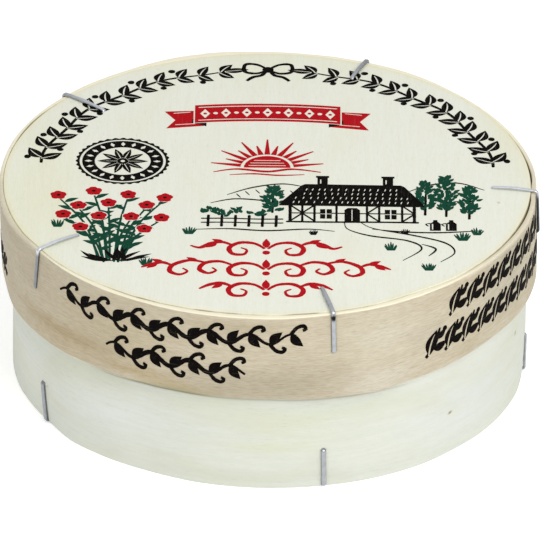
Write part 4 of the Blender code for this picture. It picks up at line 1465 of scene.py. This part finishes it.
def new_staple(name, node, corners, azimuth, looks, axis_x):
    """One staple through corners of (radius, height), with the given looks."""
    turns, dullness_and_shade, dark_reflection, full_width = looks
    route = bent_route(corners)
    lengths = [0.0]
    for start, end in zip(route, route[1:]):
        lengths.append(lengths[-1] + math.dist(start, end))
    nearness = [radius - abs(height - corners[1][1]) / 2 for radius, height in route]
    bend_index = nearness.index(max(nearness))
    bend_length = lengths[bend_index]
    points = []
    zinc_dull_and_shade = []
    for index, (radius, height) in enumerate(route):
        before = route[max(index - 1, 0)]
        after = route[min(index + 1, len(route) - 1)]
        direction = math.atan2(after[1] - before[1], after[0] - before[0])
        inner_share = min(lengths[index] / bend_length, 1.0)
        outer_share = max((lengths[index] - bend_length) / (lengths[-1] - bend_length), 0.0)
        turn = turns[0] + (turns[1] - turns[0]) * inner_share + (turns[2] - turns[1]) * outer_share
        dull_and_shaded = dullness_and_shade[0] + (dullness_and_shade[1] - dullness_and_shade[0]) * inner_share
        dull_and_shaded += (dullness_and_shade[2] - dullness_and_shade[1]) * min(outer_share / DULL_OVER, 1.0)
        place = azimuth + math.radians(turn)
        size = TIP_TAPER if index in (0, len(route) - 1) else 1.0
        half_thick = size * WIRE_THICKNESS / 2
        half_wide = full_width * size * WIRE_WIDTH / 2
        half_wide *= INNER_TAPER + (1.0 - INNER_TAPER) * min(2.0 * inner_share, 1.0)
        # The painted dark reflection past the bend
        dark_reflection_along = math.exp(-((lengths[index] - bend_length - DARK_REFLECTION_PLACE) / DARK_REFLECTION_HALF) ** 2)
        for side in range(WIRE_SIDES):
            across, through = rounded_square(2 * math.pi * side / WIRE_SIDES)
            out = radius - math.sin(direction) * through * half_thick
            beside = across * half_wide
            points.append((
                out * math.cos(place) - beside * math.sin(place) + axis_x,
                out * math.sin(place) + beside * math.cos(place),
                height + math.cos(direction) * through * half_thick,
            ))
            dark_reflection_here = dark_reflection * dark_reflection_along * math.exp(-(across / DARK_REFLECTION_ACROSS) ** 2)
            at_side = min(max((abs(across) - WIRE_SIDE_FROM) / (1.0 - WIRE_SIDE_FROM), 0.0), 1.0)
            # Dull zinc, painted shade on the narrow sides, and the painted dark reflection
            zinc_dull_and_shade.append(min(dull_and_shaded + (1.0 - dull_and_shaded) * WIRE_SIDE_SHADE * at_side + dark_reflection_here, 1.0))
    faces = []
    for here in range(0, len(points) - WIRE_SIDES, WIRE_SIDES):
        for side in range(WIRE_SIDES):
            following = (side + 1) % WIRE_SIDES
            there = here + WIRE_SIDES
            faces.append((here + side, there + side, there + following, here + following))
    faces.append(tuple(range(WIRE_SIDES)))
    faces.append(tuple(reversed(range(len(points) - WIRE_SIDES, len(points)))))
    wire = new_piece(name, points, faces, wire_finish)
    paint(wire, "dull_zinc_and_painted_shade", zinc_dull_and_shade)
    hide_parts(node)
    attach(wire, "root")


half_wire = WIRE_THICKNESS / 2
for number, ((azimuth, inner, low, top), looks, fit) in enumerate(zip(lid_staples, LID_LOOKS, LID_FITS), 1):
    rise, stand, longer = (length * MM for length in fit)
    low -= longer
    rim = lid_outline(azimuth)
    over_rim = LID_RIM + half_wire + WIRE_GAP - GROOVE_DEPTH + rise
    over_disc = lid_top(inner * math.cos(azimuth), inner * math.sin(azimuth)) + half_wire
    at_wall = half_wire + WIRE_GAP - GROOVE_DEPTH + stand
    new_staple(f"lid_wire_{number}", f"lid_staple_{number}", [
        (inner, over_disc - TIP_LENGTH),
        (inner, over_disc),
        ((inner + rim) / 2, over_disc + LEG_BOW),
        (rim + at_wall, over_rim + 0.05 * MM),
        (hoop_wall(azimuth, low + 1.2 * MM) + at_wall, low),
        (hoop_wall(azimuth, low) + at_wall - TIP_LENGTH, low - TIP_SLANT),
    ], azimuth, looks, LID_SHIFT)
for number, (staple, looks, longer) in enumerate(zip(base_staples, BASE_LOOKS, BASE_LONGER), 1):
    azimuth, inner, low, top = staple
    top += longer * MM
    beside_foot = drum_radius(azimuth, 2 * MM) + half_wire + WIRE_GAP
    beside_tip = drum_radius(azimuth, top - 1.2 * MM) + half_wire + WIRE_GAP
    new_staple(f"base_wire_{number}", f"base_staple_{number}", [
        (inner, base_disc_low - half_wire + TIP_LENGTH),
        (inner, base_disc_low - half_wire),
        (DRUM_RADIUS - 2 * DRUM_THICKNESS, low),
        (beside_foot, low),
        (beside_tip, top),
        (beside_tip - TIP_LENGTH, top + TIP_SLANT),
    ], azimuth, looks, 0.0)
